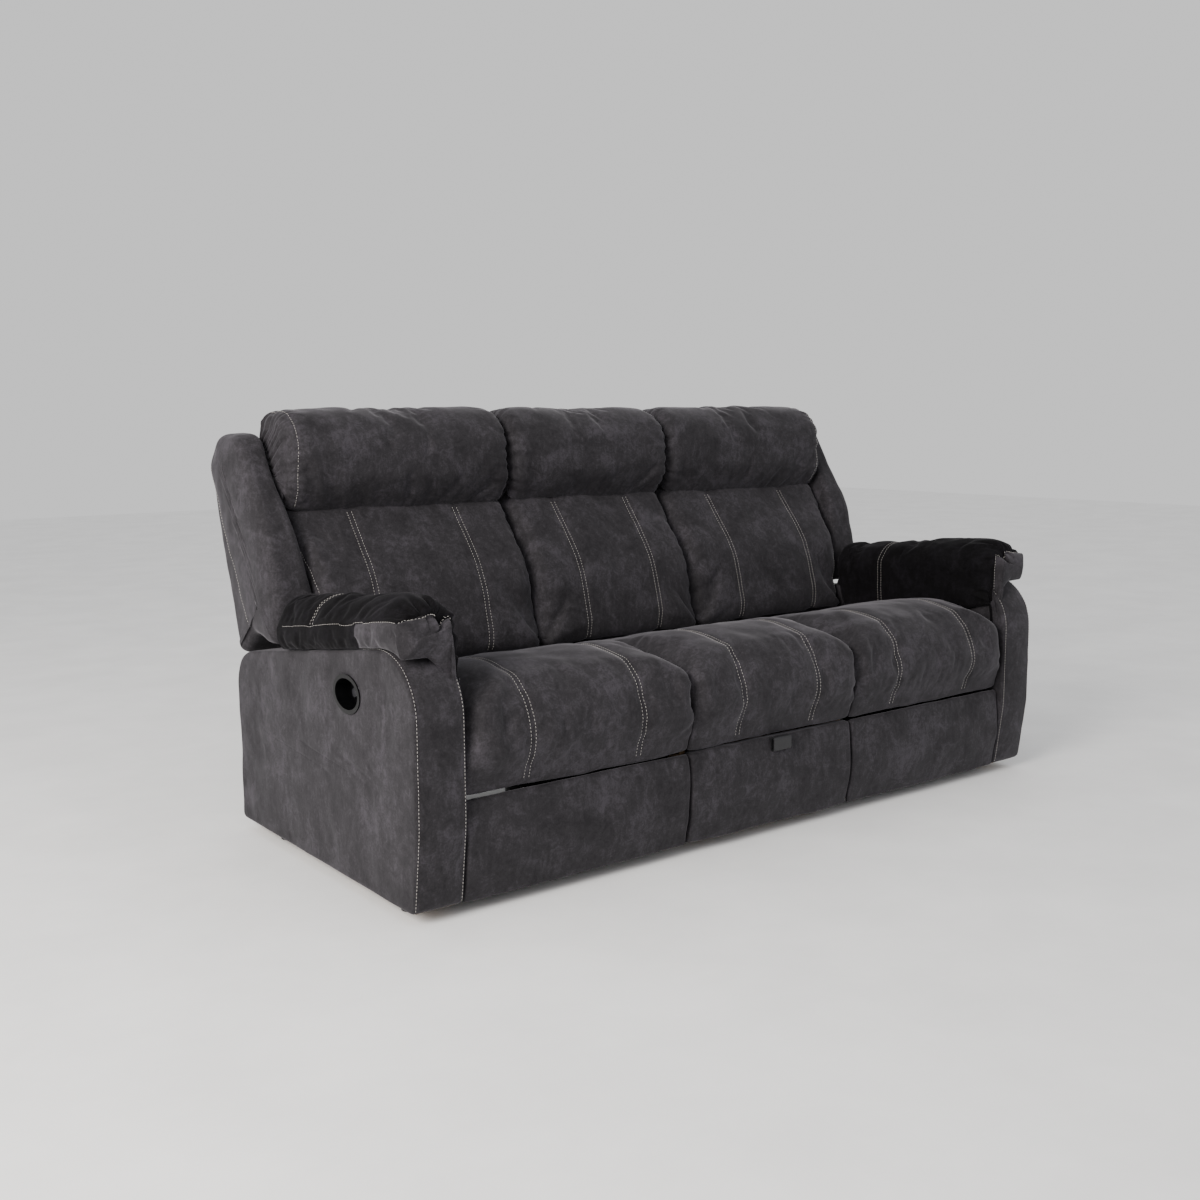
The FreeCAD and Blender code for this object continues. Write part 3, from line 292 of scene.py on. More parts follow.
def to_mesh(name, points, materials, pick=None):
    """Closed mesh of a grid of rings. Each end ring is closed by a strip of faces that joins the
    places i0 + k and i0 - k, where i0 is the ring's lowest place; the strip's first and last
    faces have one corner twice and become triangles. Faces point outwards, which the sign of
    the enclosed volume decides. pick gives each ring-and-place's material number."""
    rings, around = points.shape[:2]
    index = np.arange(rings * around).reshape(rings, around)
    ahead = np.roll(index, -1, 1)
    quads = np.stack([index[:-1], index[1:], ahead[1:], ahead[:-1]], -1).reshape(-1, 4)
    k = np.arange(around // 2)
    lids = []
    for r, turned in ((0, False), (-1, True)):
        i0 = int(np.argmin(points[r, :, 2]))
        lid = np.stack([i0 + k, i0 + k + 1, i0 - k - 1, i0 - k], -1) % around
        lids.append(index[r][lid[:, ::-1] if turned else lid])
    a, b, c, d = (points.reshape(-1, 3)[column] for column in quads.T)
    volume = (a * np.cross(b, c)).sum() + (a * np.cross(c, d)).sum()
    if volume < 0:
        quads, lids = quads[:, ::-1], [lid[:, ::-1] for lid in lids]
    faces = quads.tolist()
    for lid in lids:
        faces += [list(dict.fromkeys(face)) for face in lid.tolist()]
    piece = smooth_piece(name, points, faces, materials)
    if pick is not None:
        half = around // 2
        chosen = np.concatenate([pick[:-1].reshape(-1), pick[0, :half], pick[-1, :half]])
        piece.data.polygons.foreach_set("material_index", chosen.astype(np.int32))
    piece.data.update()
    return piece


def mirrored(points):
    """The same surface or row of points on the left-hand side."""
    return np.asarray(points) * [-1.0, 1.0, 1.0]


def swell(jobs, frames=20, pressure=4.0):
    """Cloth simulation of all covers together: each cover is a closed sheet that the fill presses
    outwards, held where the job says, and 3% larger than its shape so that it wrinkles. Each
    point's move is cut to the job's cap, and none passes the cover's ends along X. Each job
    gets a new grid."""
    made = []
    for name, job in jobs.items():
        piece = to_mesh("swell_" + name, job["points"], [])
        group = piece.vertex_groups.new(name="held")
        for weight in (0, 1):
            places = np.flatnonzero(job["held"].reshape(-1) == weight)
            group.add(places.tolist(), weight, "REPLACE")
        cloth = piece.modifiers.new("swell", "CLOTH")
        cloth.point_cache.frame_start, cloth.point_cache.frame_end = 1, frames
        rules = cloth.settings
        rules.quality = 4
        rules.mass = 0.3
        rules.tension_stiffness = rules.compression_stiffness = 15
        rules.shear_stiffness = 5
        rules.bending_stiffness = 0.5
        rules.shrink_min = -0.03
        rules.use_pressure = True
        rules.uniform_pressure_force = pressure
        rules.vertex_group_mass = "held"
        rules.effector_weights.gravity = 0
        cloth.collision_settings.use_collision = False
        made.append((job, piece))
    for number in range(1, frames + 1):
        bpy.context.scene.frame_set(number)
    graph = bpy.context.evaluated_depsgraph_get()
    for job, piece in made:
        start = job["points"]
        place = read(piece.evaluated_get(graph).data.vertices, "co", np.float32, 3)
        step = place.reshape(start.shape) * 1000.0 - start
        size = np.linalg.norm(step, axis=2, keepdims=True)
        job["points"] = start + step * np.minimum(1, job["cap"] / np.maximum(size, 1e-6))
        job["points"][..., 0] = np.clip(job["points"][..., 0], start[..., 0].min(),
                                        start[..., 0].max())
        bpy.data.objects.remove(piece)
    bpy.context.scene.frame_set(1)


# Finishes
def colour(code, alpha=1.0):
    """An sRGB hex colour as the linear values that shaders use."""
    parts = [int(code[k:k + 2], 16) / 255 for k in (1, 3, 5)]
    return [p / 12.92 if p <= 0.04045 else ((p + 0.055) / 1.055) ** 2.4 for p in parts] + [alpha]


def add(tree, kind, values=(), links=(), stops=(), **settings):
    """Add one shader node with its settings, input values, links and, on a ramp, its stops."""
    made = tree.nodes.new(kind)
    for key, value in settings.items():
        setattr(made, key, value)
    for key, value in dict(values).items():
        made.inputs[key].default_value = value
    for key, source in dict(links).items():
        tree.links.new(source, made.inputs[key])
    for k, (place, code) in enumerate(stops):
        stop = made.color_ramp.elements[k] if k < 2 else made.color_ramp.elements.new(place)
        stop.position, stop.color = place, colour(code)
    return made


def finish_of(name):
    """A new material with its node tree emptied down to the output."""
    material = bpy.data.materials.new(name)
    material.use_nodes = True
    tree = material.node_tree
    tree.nodes.clear()
    return material, tree, tree.nodes.new("ShaderNodeOutputMaterial")


def microfibre(name, dark, middle, light, nap=1.0, shine=0.22):
    """Polished microfibre (faux suede), brushed knit polyester with a printed mottle. It gives the
    eye cloudy patches 60 to 150 mm wide, veins of about 20 mm, brush strokes that run down the
    cloth and a fine speckle; real fibre ends are under 0.1 mm, so the speckle is drawn at 4 mm."""
    material, tree, output = finish_of(name)
    place = add(tree, "ShaderNodeTexCoord").outputs["Object"]
    clouds = add(tree, "ShaderNodeTexNoise", {"Scale": 9.0, "Detail": 5.0, "Roughness": 0.62,
                 "Distortion": 0.7}, {"Vector": place})
    veins = add(tree, "ShaderNodeTexNoise", {"Scale": 34.0, "Detail": 6.0, "Roughness": 0.66,
                "Distortion": 1.6}, {"Vector": place})
    stretched = add(tree, "ShaderNodeMapping", {"Scale": (1.0, 1.0, 0.22)}, {"Vector": place})
    strokes = add(tree, "ShaderNodeTexNoise", {"Scale": 90.0, "Detail": 3.0, "Roughness": 0.6},
                  {"Vector": stretched.outputs["Vector"]})
    speckle = add(tree, "ShaderNodeTexNoise", {"Scale": 260.0, "Detail": 2.0, "Roughness": 0.6},
                  {"Vector": place})
    total = None
    for source, share in ((clouds, 0.38), (veins, 0.3), (strokes, 0.14), (speckle, 0.18)):
        links = {0: source.outputs["Fac"]}
        if total is not None:
            links[2] = total
        total = add(tree, "ShaderNodeMath", {1: share, 2: 0.0}, links,
                    operation="MULTIPLY_ADD").outputs[0]
    tint = add(tree, "ShaderNodeValToRGB", {}, {"Fac": total},
               stops=((0.40, dark), (0.60, light), (0.50, middle)))
    relief = add(tree, "ShaderNodeBump", {"Strength": 0.35, "Distance": 0.0012},
                 {"Height": total})
    body = add(tree, "ShaderNodeBsdfPrincipled",
               {"Roughness": 0.82, "Specular IOR Level": shine, "Sheen Weight": 0.3 * nap,
                "Sheen Roughness": 0.38, "Sheen Tint": colour("#b9b6bd")},
               {"Base Color": tint.outputs["Color"], "Normal": relief.outputs["Normal"]})
    tree.links.new(body.outputs[0], output.inputs["Surface"])
    return material


def plain_finish(name, dark, light, scale, roughness, metallic=0.0, bump=0.1, stretch=(1, 1, 1),
                 specular=0.5):
    """A hard or woven finish: two near colours mixed by a stretched noise that gives relief too."""
    material, tree, output = finish_of(name)
    place = add(tree, "ShaderNodeTexCoord").outputs["Object"]
    turned = add(tree, "ShaderNodeMapping", {"Scale": stretch}, {"Vector": place})
    grain = add(tree, "ShaderNodeTexNoise", {"Scale": scale, "Detail": 5.0, "Roughness": 0.6},
                {"Vector": turned.outputs["Vector"]})
    tint = add(tree, "ShaderNodeValToRGB", {}, {"Fac": grain.outputs["Fac"]},
               stops=((0.35, dark), (0.65, light)))
    relief = add(tree, "ShaderNodeBump", {"Strength": bump, "Distance": 0.0005},
                 {"Height": grain.outputs["Fac"]})
    body = add(tree, "ShaderNodeBsdfPrincipled",
               {"Roughness": roughness, "Metallic": metallic, "Specular IOR Level": specular},
               {"Base Color": tint.outputs["Color"], "Normal": relief.outputs["Normal"]})
    tree.links.new(body.outputs[0], output.inputs["Surface"])
    return material


# The cloth of the seats, backs and arms
SUEDE = microfibre("polished_microfibre", "#19171a", "#262427", "#38353a")
# The arm pads' cloth: a darker copy of the microfibre, near black with little sheen; the darkness
# is painted shade for the nap, which looks darker on the pads under the light
SUEDE_PAINTED_SHADE = microfibre("polished_microfibre_painted_shade", "#050405", "#0a090b", "#141216",
                        nap=0.25, shine=0.08)
# The rear's plainer cloth, with less mottle
SUEDE_REAR = microfibre("plain_rear_microfibre", "#1b1a1c", "#262427", "#323033", nap=0.8)
# Bonded polyester sewing thread, spun: light grey, slightly glossy
THREAD = plain_finish("polyester_thread", "#85827f", "#aeaaa6", 900.0, 0.55)
# Powder-coated steel: satin black with a very fine orange peel
BLACK_STEEL = plain_finish("powder_coated_steel", "#060607", "#0c0c0d", 420.0, 0.7, bump=0.15,
                           specular=0.03)
# Black-zinc-plated steel: dark and metallic, slightly blotched by the plating bath
ZINC = plain_finish("black_zinc_plated_steel", "#17181a", "#28292b", 120.0, 0.42, metallic=1.0,
                    bump=0.05)
# Poplar plywood, sanded: pale, with grain that runs along the board
PLYWOOD = plain_finish("poplar_plywood", "#5f4a31", "#7d6444", 26.0, 0.62, bump=0.25,
                       stretch=(0.12, 1, 1))
# Moulded ABS: the cup has a polished black face; its lever, of the same black ABS, has a satin face
# drawn in a lighter grey, a painted highlight for its glints
GLOSS_ABS = plain_finish("polished_abs", "#060607", "#0a0a0b", 60.0, 0.3, bump=0.02,
                         specular=0.12)
LEVER_ABS_PAINTED_HIGHLIGHT = plain_finish("satin_abs_painted_highlight", "#18181b", "#222226", 60.0, 0.3, bump=0.02)
# Moulded polypropylene feet: matt black with a fine spark-eroded texture
FOOT_PP = plain_finish("moulded_polypropylene", "#0c0c0d", "#141415", 700.0, 0.6, bump=0.3)
# PVC cable sheath: smooth, half matt
SHEATH = plain_finish("pvc_cable_sheath", "#111113", "#1a1a1c", 200.0, 0.4)
# Woven polypropylene webbing: ribs across the tape every 2 mm
WEBBING = plain_finish("polypropylene_webbing", "#0e0e10", "#1d1d20", 500.0, 0.55, bump=0.6,
                       stretch=(1, 0.3, 1))

BY_SLOT = {"frame_board": PLYWOOD, "black_steel": BLACK_STEEL, "bare_steel": ZINC,
           "lever_plastic": GLOSS_ABS, "foot_plastic": FOOT_PP, "cable_sheath": SHEATH,
           "webbing": WEBBING}
for part in frame["record"]["subparts"]:
    if part["material_slot"] in BY_SLOT:
        solid = frame["nodes"][part["node"]]
        solid.data.materials.clear()
        solid.data.materials.append(BY_SLOT[part["material_slot"]])
# The levers get the lighter grey ABS, a painted highlight for their glints
for lever in ("left_lever", "right_lever"):
    frame["nodes"][lever].data.materials[0] = LEVER_ABS_PAINTED_HIGHLIGHT


# Shapes
def fixed(x):
    """An end at one x, whatever the height."""
    return lambda y, z: np.full(np.shape(y), float(x))


def beside_wing(y, z):
    """Outer side of a lumbar cushion or head roll: upright beside the arm, then leaning out."""
    return np.interp(z, [529.0, 898.0], [904.0, 954.7])


def roll_end(y, z):
    """Outer end of a head roll, drawn in towards its top."""
    return beside_wing(y, z) - np.interp(z, [812.0, 980.0], [2.0, 20.0])


def wing_inside(y, z):
    """Inner side of a wing, 5 mm off the cushion at its foot and 1 mm off the head roll."""
    return beside_wing(y, z) + np.interp(z, [529.0, 898.0], [5.0, 1.0])


def seat_shape(low, high, edge):
    """Seat cushion with a waterfall front. Towards its ends its top falls by up to 22 mm, as a
    bell curve of the distance from the end."""
    corners = [(-501, 257, 8), (-536, 352, 110), (-536, 474, 58), (-337, 512, 320),
               (68, 417, 60), (158, 409, 20), (158, 303, 12), (-484, 303, 4), (-488, 257, 5)]

    def drawn_in(y, z):
        front = np.interp(z, [258, 320, 400, 470], [0.12, 0.22, 0.75, 1.0])
        return np.where(y > -480, np.where(z < 306, 0.15, 1.0), front)

    shape = cushion(corners, fixed(low), fixed(high), edge, (3, 3), ((-420, 395), (90, 360)),
                    around=150, across=60, weight=drawn_in)
    points, depth = shape["points"], shape["depth"]
    on_top = np.clip((points[..., 2] - 440) / 60, 0, 1)
    points[..., 2] -= 22 * np.exp(-(np.maximum(depth, 0) / 75) ** 2) * on_top
    shape["held"] = (points[..., 2] < 312) | (points[..., 1] > 60) | (depth <= 0)
    return shape


def lumbar_shape(low, high):
    """Lumbar cushion, flat against the back's leaning support and round in front."""
    corners = [(76, 420, 26), (133, 640, 300), (266, 806, 12), (391, 897, 6), (393, 888, 3),
               (235, 424, 3), (235, 419, 3)]
    shape = cushion(corners, low, high, (34, 34), (3, 3), ((150, 470), (330, 835)),
                    around=120, across=52,
                    weight=lambda y, z: np.clip((235 + leant(z) - y) / 60, 0.1, 1))
    points, depth = shape["points"], shape["depth"]
    shape["held"] = (points[..., 1] > 225 + leant(points[..., 2])) | (depth <= 0)
    return shape


def roll_shape(low, high):
    """Head roll, which rests on the lumbar cushion and laps over the back's top."""
    corners = [(270, 812, 12), (228, 880, 48), (240, 1068, 95), (428, 1068, 60), (445, 1000, 30),
               (425, 952, 25), (389, 899, 10)]
    shape = cushion(corners, low, high, (44, 44), (5, 5), ((300, 905), (385, 985)),
                    around=110, across=58)
    points, depth = shape["points"], shape["depth"]
    shape["held"] = (points[..., 2] < 820) | (points[..., 1] > 420) | (depth <= 0)
    return shape


def wing_shape():
    """Wing beside the back; its lower edge stays clear of the arm as the back reclines."""
    corners = [(143, 600, 60), (160, 507, 24), (212, 505, 30), (284, 524, 60), (374, 450, 14),
               (535, 930, 60), (471, 1012, 58), (343, 1012, 70), (185, 762, 160)]
    return cushion(corners, wing_inside, fixed(ARM_OUTER - 2), (16, 30), (1, 7),
                   ((215, 600), (440, 950)), around=120, across=20, walls=7)


def arm_shape():
    """Arm: a board with a round top front corner and a straight top that falls to the rear."""
    corners = [(-500, HEM, 14), (ARM_FRONT, 210, 300), (ARM_FRONT, ARM_FRONT_HEIGHT, ARM_ROUND),
               (ARM_REAR, ARM_REAR_HEIGHT, 105), (ARM_REAR, HEM, 14)]
    return cushion(corners, fixed(ARM_INNER), fixed(ARM_OUTER), (8, 9), (0.5, 0),
                   ((-330, 300), (230, 260)), around=190, across=16, walls=13)


def panel_shape(low, high, behind):
    """Front panel, a little bowed from its lower to its upper edge, and flat behind."""
    corners = [(behind, HEM, 2), (-499, HEM, 6), (-522, 138, 400), (-508, PANEL_TOP, 9),
               (behind, PANEL_TOP, 3)]
    return cushion(corners, fixed(low), fixed(high), (9, 9), (0, 0), ((-500, 70), (-500, 210)),
                   around=90, across=36, weight=lambda y, z: np.clip((behind - y) / 12, 0, 1))


def cover_shape(low, high):
    """Rear cover: upright at its foot, then leaning with the back up to its rounded top."""
    corners = [(252, 126, 6), (252, 420, 2), (236, 424, 2), (398, 900, 3), (426, 951, 3),
               (446, 989, 6), (519, 959, 40), (536, 912, 60), (536, 868, 60), (376, 400, 220),
               (376, 126, 8)]
    return cushion(corners, fixed(low), fixed(high), (10, 10), (0, 0), ((315, 200), (470, 900)),
                   around=90, across=26,
                   weight=lambda y, z: np.clip((y - 240 - np.maximum(leant(z), 0)) / 30, 0, 1))


def pad_ring(flat, y_from_rear):
    """One ring of an arm pad, from its section in (x, height over the arm). y_from_rear gives the
    ring's y from that of the pad's leaning rear end. The section stands on the arm's top line,
    which it follows round the front corner less and less the higher it is, and its crown
    rises towards the rear."""
    x, h = flat[:, 0], flat[:, 1]
    on_arm = x > PAD_FLAP
    tongue = np.clip((38 - h) / 20, 0, 1) * np.clip((x - 903) / 5, 0, 1) * np.clip(
        (1018 - x) / 8, 0, 1)
    y = y_from_rear(PAD_REAR + 0.266 * (arm_top(PAD_REAR) + h - 508) + 44 * tongue)
    before_bend = np.maximum(0, ARM_FRONT + ARM_ROUND - y)
    fall = ARM_ROUND - np.sqrt(np.maximum(ARM_ROUND ** 2 - before_bend ** 2, 1))
    base = arm_top(y) - np.interp(h, [-10, 2, PAD_SEAM], [1.0, 0.75, 0.05]) * fall
    crown = np.interp(y, [-412, 60], [108, 131])
    high = np.where(h > PAD_SEAM, PAD_SEAM + (h - PAD_SEAM) * (crown - PAD_SEAM)
                    / (PAD_CROWN - PAD_SEAM), h)
    chin = np.clip((-450 - y) / 25, 0, 1) * on_arm
    base = base - 58 * chin * np.clip((970 - x) / 64, 0, 1) * np.clip((40 - h) / 38, 0, 1)
    hang = np.clip(h / PAD_HANG, 0, 1) * ~on_arm
    return np.stack([x, y, base * (1 - hang) + arm_top(y) * hang + high], 1)


def pad_shape():
    """Arm pad: a closed section carried along Y. It is drawn in at the front by a quarter circle,
    offset = radius * (1 - sin a) at y = front + radius * (1 - cos a), and ends in a slightly
    domed cap; its rear end leans with the lumbar cushion. The part beside the seat hangs
    below the arm's top."""
    corners = [(1034, 2, 10), (1045, 28, 30), (1043, PAD_SEAM, 16), (1012, 116, 62),
               (925, PAD_CROWN, 62), (881, 70, 60), (879, -20, 60), (884, PAD_HANG, 12),
               (905, PAD_HANG, 8), (905.5, 1, 3)]
    around, radius, rear_radius = 144, 80.0, 14.0
    line = rounded_line(corners, around)
    x, h = line[:, 0], line[:, 1]
    normal = outward(line)
    over = np.clip((h - PAD_SEAM) / 30, 0, 1)
    inner = np.clip((905 - x) / 12, 0, 1)
    corner = 0.7 * np.maximum(-normal[:, 0], 0) * np.maximum(normal[:, 1], 0)
    weight = np.maximum(over * (0.45 + 0.30 * np.abs(normal[:, 1]) + corner), 0.45 * inner) + 0.02
    rings, depth = [], []

    def drawn_in(by):
        return line - normal * (by * weight)[:, None]

    def add_ring(flat, y_from_rear, deep):
        rings.append(pad_ring(flat, y_from_rear))
        depth.append(np.full(around, float(deep)))

    for t in np.linspace(0.9, 0, 7, endpoint=False) ** 1.2:
        flat = drawn_in(radius)
        flat = flat + t * (near_spine(flat, ((1000, 40), (925, 45))) - flat)
        add_ring(flat, lambda rear: np.full(around, PAD_FRONT - 22 * (1 - (1 - t) ** 2)), -100 * t)
    for a in np.linspace(0, math.pi / 2, 11):
        inwards = radius * (1 - math.cos(a))
        add_ring(drawn_in(radius * (1 - math.sin(a))),
                 lambda rear: np.full(around, PAD_FRONT + inwards), inwards)
    start = PAD_FRONT + radius
    for s in np.linspace(0, 1, 56)[1:-1]:
        add_ring(line, lambda rear: start + s * (rear - rear_radius - start),
                 radius + s * (PAD_REAR - rear_radius - start))
    for a in np.linspace(math.pi / 2, 0, 5):
        add_ring(drawn_in(rear_radius * (1 - math.sin(a))),
                 lambda rear: rear - rear_radius * (1 - math.cos(a)),
                 PAD_REAR_DEPTH + rear_radius * math.sin(a))
    for t in np.linspace(0, 0.9, 7)[1:]:
        flat = drawn_in(rear_radius)
        add_ring(flat + t * (np.array([965.0, 45.0]) - flat), lambda rear: rear, 600)
    depth = np.stack(depth)
    along, length = run_along(line)
    seam = int(np.argmin(np.hypot(x - 1043, h - PAD_SEAM)))
    fixed_place = (h < 4) | (np.abs(np.arange(around) - seam) <= 2)
    return {"points": np.stack(rings), "depth": depth, "line": line, "length": length,
            "along": np.broadcast_to(along, depth.shape), "outer_seam": seam,
            "flap_foot": int(np.argmin(np.hypot(x - 884, h + 80))),
            "held": fixed_place[None, :] | (depth <= 0) | (depth > PAD_REAR_DEPTH)}


# Between two divisions, and from a division to the arm or the wing
middle_ends = -DIVISION + GAP, DIVISION - GAP
shapes = {
    "seat": seat_shape(DIVISION + GAP, ARM_INNER - 3, (40, 70)),
    "middle_seat": seat_shape(*middle_ends, (40, 40)),
    "lumbar": lumbar_shape(fixed(DIVISION + GAP), beside_wing),
    "middle_lumbar": lumbar_shape(*map(fixed, middle_ends)),
    "roll": roll_shape(fixed(DIVISION + GAP), roll_end),
    "middle_roll": roll_shape(*map(fixed, middle_ends)),
    "pad": pad_shape(),
}
# Furthest that the simulation may move a cover's points, in mm
for name, cap in (("seat", 14), ("middle_seat", 14), ("lumbar", 12), ("middle_lumbar", 12),
                  ("roll", 12), ("middle_roll", 12), ("pad", 8)):
    shapes[name]["cap"] = cap
swell(shapes)
shapes["wing"] = wing_shape()
shapes["arm"] = arm_shape()


# Covers
seams_to_sew = []


def make_cover(name, points, body, node, rows=(), flip=False, finishes=(SUEDE,), pick=None):
    """Make a cover, fix it to its body and hide the CAD solid that it stands for. Its rows of
    stitches are kept until all covers are there. flip takes both to the left-hand side."""
    if flip:
        points, rows = mirrored(points), [mirrored(row) for row in rows]
    piece = to_mesh(name + "_upholstery", points, finishes, pick)
    rounder = piece.modifiers.new("soften", "SUBSURF")
    rounder.levels = rounder.render_levels = 1
    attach(piece, body)
    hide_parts(node)
    if rows:
        seams_to_sew.append((name + "_stitching", body, piece.name, rows))
    return piece


def line_at_x(points, x, keep):
    """The line where a grid of rings crosses the upright plane at x, for the places to keep."""
    out = []
    for i in np.flatnonzero(keep):
        column = points[8:-8, i]
        column = column[np.argsort(column[:, 0])]
        out.append([x] + [np.interp(x, column[:, 0], column[:, k]) for k in (1, 2)])
    return out


def twin_rows(points, seams, keep):
    """The two rows of stitches of each twin-needle seam."""
    return [line_at_x(points, x + side * TWIN / 2, keep) for x in seams for side in (-1, 1)]


def seam_valleys(x, seams, depth, width, broad):
    """Valleys of seams at given x: each a sharp one in a broad one that is 3 mm deep."""
    return sum(groove(x - s, depth, width) + groove(x - s, 3.0, broad) for s in seams)


def rumple(points, seed, large, small):
    """Unevenness of two sizes together, each given as its height and wavelength."""
    return large[0] * uneven(points, large[1], seed) + small[0] * uneven(
        points, small[1], seed + 1)


def outer_ring(depth, distance):
    """Number of the ring at a distance from the outer end, in the grid's second half."""
    first_half = np.arange(len(depth)) < len(depth) / 2
    return np.argmin(np.abs(depth[:, 0] - distance) + 1000 * first_half)


def dress_seat(side, body, seed, seams):
    """Seat cushion with two twin-needle seams over its top and front. Beside the arm its top
    stays under the arm pad."""
    shape = shapes["middle_seat" if side == "middle" else "seat"]
    points, depth = shape["points"], shape["depth"]
    x, y, z = np.moveaxis(points, 2, 0)
    line_y, line_z = shape["line"].T
    seen = np.clip(np.clip((z - 300) / 20, 0, 1) + (y < -470), 0, 1)
    height = seam_valleys(x, seams, 5.0, 9.0, 30.0) * seen * np.clip(1 + depth / 10, 0, 1)
    height = height * np.clip((z - 262) / 50, 0, 1)
    height += gathers(depth, shape["along"], seed, 20, shape["length"] * 0.60, 34, 58, 4.5)
    height += rumple(points, seed + 1, (1.8, 170), (0.7, 60))
    points = swell_out(points, height, depth)
    if side != "middle":
        beside_arm = np.clip((x - 872) / 8, 0, 1)
        limit = arm_top(points[..., 1]) - 100
        over = np.maximum(points[..., 2] - limit, 0)
        points[..., 2] -= over * beside_arm
    points[..., 0] = np.clip(points[..., 0], x.min(), x.max())
    points[..., 1] = np.maximum(points[..., 1], FRONT - 8)
    keep = (line_y < 60) & (line_z > 268) & ((line_z > 320) | (line_y < -490))
    make_cover(side + "_seat", points, body, side + "_seat_cushion",
               twin_rows(points, seams, keep), side == "left")


def dress_lumbar(side, body, seed, seams):
    """Lumbar cushion: two twin-needle seams, and beside the wing one more single seam. Three
    long creases run down from its upper outer corner."""
    outer = side != "middle"
    shape = shapes["lumbar" if outer else "middle_lumbar"]
    points, depth = shape["points"], shape["depth"]
    x, y, z = np.moveaxis(points, 2, 0)
    line_y, line_z = shape["line"].T
    ahead = np.clip((215 + leant(z) - y) / 20, 0, 1)
    height = seam_valleys(x, seams, 4.0, 8.0, 26.0) * np.clip(1 + depth / 10, 0, 1)
    height += gathers(depth, shape["along"], seed, 30, shape["length"] * 0.42, 46, 60, 3.6, 0.4)
    height = (height + rumple(points, seed + 1, (2.2, 190), (0.8, 60))) * ahead
    end = 912 if outer else 270
    height += creases(points, [
        ((end - 12, 232, 792 - 10 * k), (end - dx, 190 + 8 * k, 745 + dz), 9 + 2 * k, 5.5 - k)
        for k, (dx, dz) in enumerate(((95, -18), (120, -42), (80, 6)))])
    points = swell_out(points, height, depth)
    keep = (line_y < 226 + leant(line_z)) & (line_z > 426) & (line_y < 272)
    rows = twin_rows(points, seams, keep)
    if outer:
        rows.append(points[outer_ring(depth, 9), keep])
    make_cover(side + "_lumbar", points, body, side + "_lumbar_cushion", rows,
               side == "left")


def dress_roll(side, body, seed):
    """Head roll: gathered into a stitched seam about 34 mm from its outer end."""
    outer = side != "middle"
    shape = shapes["roll" if outer else "middle_roll"]
    smooth, depth, along = shape["points"], shape["depth"], shape["along"]
    line_y, line_z = shape["line"].T
    seam_at, length = 34.0, shape["length"]
    height = gathers(np.maximum(depth - 8, 0), along, seed, 25, length * 0.62, 30, 70, 5.2)
    rows = []
    if outer:
        sewn = groove(depth - seam_at, 3.5, 5.0) + gathers(
            np.abs(depth - seam_at), along, seed + 5, 20, length * 0.6, 26, 46, 4.6)
        height += np.where(np.arange(len(depth))[:, None] > len(depth) / 2, sewn, 0)
        keep = (line_y < 430) & ((line_z > 960) | (line_y < 262))
        rows.append(smooth[outer_ring(depth, seam_at), keep])
    height += rumple(smooth, seed + 1, (2.4, 200), (0.9, 70))
    make_cover(side + "_head_roll", swell_out(smooth, height, depth), body,
               side + "_head_roll", rows, side == "left")


WING_SEAM = [(522, 945), (508, 893), (473, 844), (419, 745), (358, 648), (311, 564), (290, 532)]


def dress_wing(side, body, seed):
    """Wing: its outer face is sewn along a seam near its rear, and five soft creases fan out
    in front of the seam."""
    points, depth = shapes["wing"]["points"], shapes["wing"]["depth"]
    x, y, z = np.moveaxis(points, 2, 0)
    height = np.where(x > 1005, groove(to_line(y, z, WING_SEAM), 3.2, 6.0), 0)
    height += rumple(points, seed, (1.6, 150), (0.7, 55))
    height += creases(points, [
        ((ARM_OUTER, 300 - 30 * k, 560 + 62 * k), (ARM_OUTER, 385 - 12 * k, 600 + 66 * k), 8, 2.4)
        for k in range(5)])
    run, path = np.linspace(0, 1, 60), np.array(WING_SEAM, float)
    spread = np.linspace(0, 1, len(path))
    row = np.stack([np.full(60, ARM_OUTER + 4), np.interp(run, spread, path[:, 0]) - 4,
                    np.interp(run, spread, path[:, 1])], 1)
    make_cover(side + "_wing", swell_out(points, height, depth), body, side + "_wing",
               [row], side == "left")


def cut_cup_hole(piece, sign):
    """Cut the oval hole for the lever's cup through the arm's outer face, 4 mm inside the rim."""
    angle = np.linspace(0, 2 * math.pi, 64, endpoint=False)
    y = CUP_Y + (CUP_HALF_LENGTH - 4) * np.cos(angle)
    z = CUP_Z + (CUP_HALF_HEIGHT - 4) * np.sin(angle)
    ring = np.array([(sign * x, a, b) for x in (985, 1060) for a, b in zip(y, z)])
    n = len(y)
    faces = [[i, (i + 1) % n, n + (i + 1) % n, n + i] for i in range(n)]
    faces += [list(range(n))[::-1], list(range(n, 2 * n))]
    cutter = smooth_piece("cup_cutter", ring, faces)
    if sign < 0:
        cutter.data.flip_normals()
    cut = piece.modifiers.new("cup_hole", "BOOLEAN")
    cut.operation, cut.solver, cut.object = "DIFFERENCE", "MANIFOLD", cutter
    graph = bpy.context.evaluated_depsgraph_get()
    whole = bpy.data.meshes.new_from_object(piece.evaluated_get(graph))
    piece.modifiers.clear()
    piece.data = whole
    bpy.data.objects.remove(cutter)
    whole.polygons.foreach_set("use_smooth", np.ones(len(whole.polygons), bool))


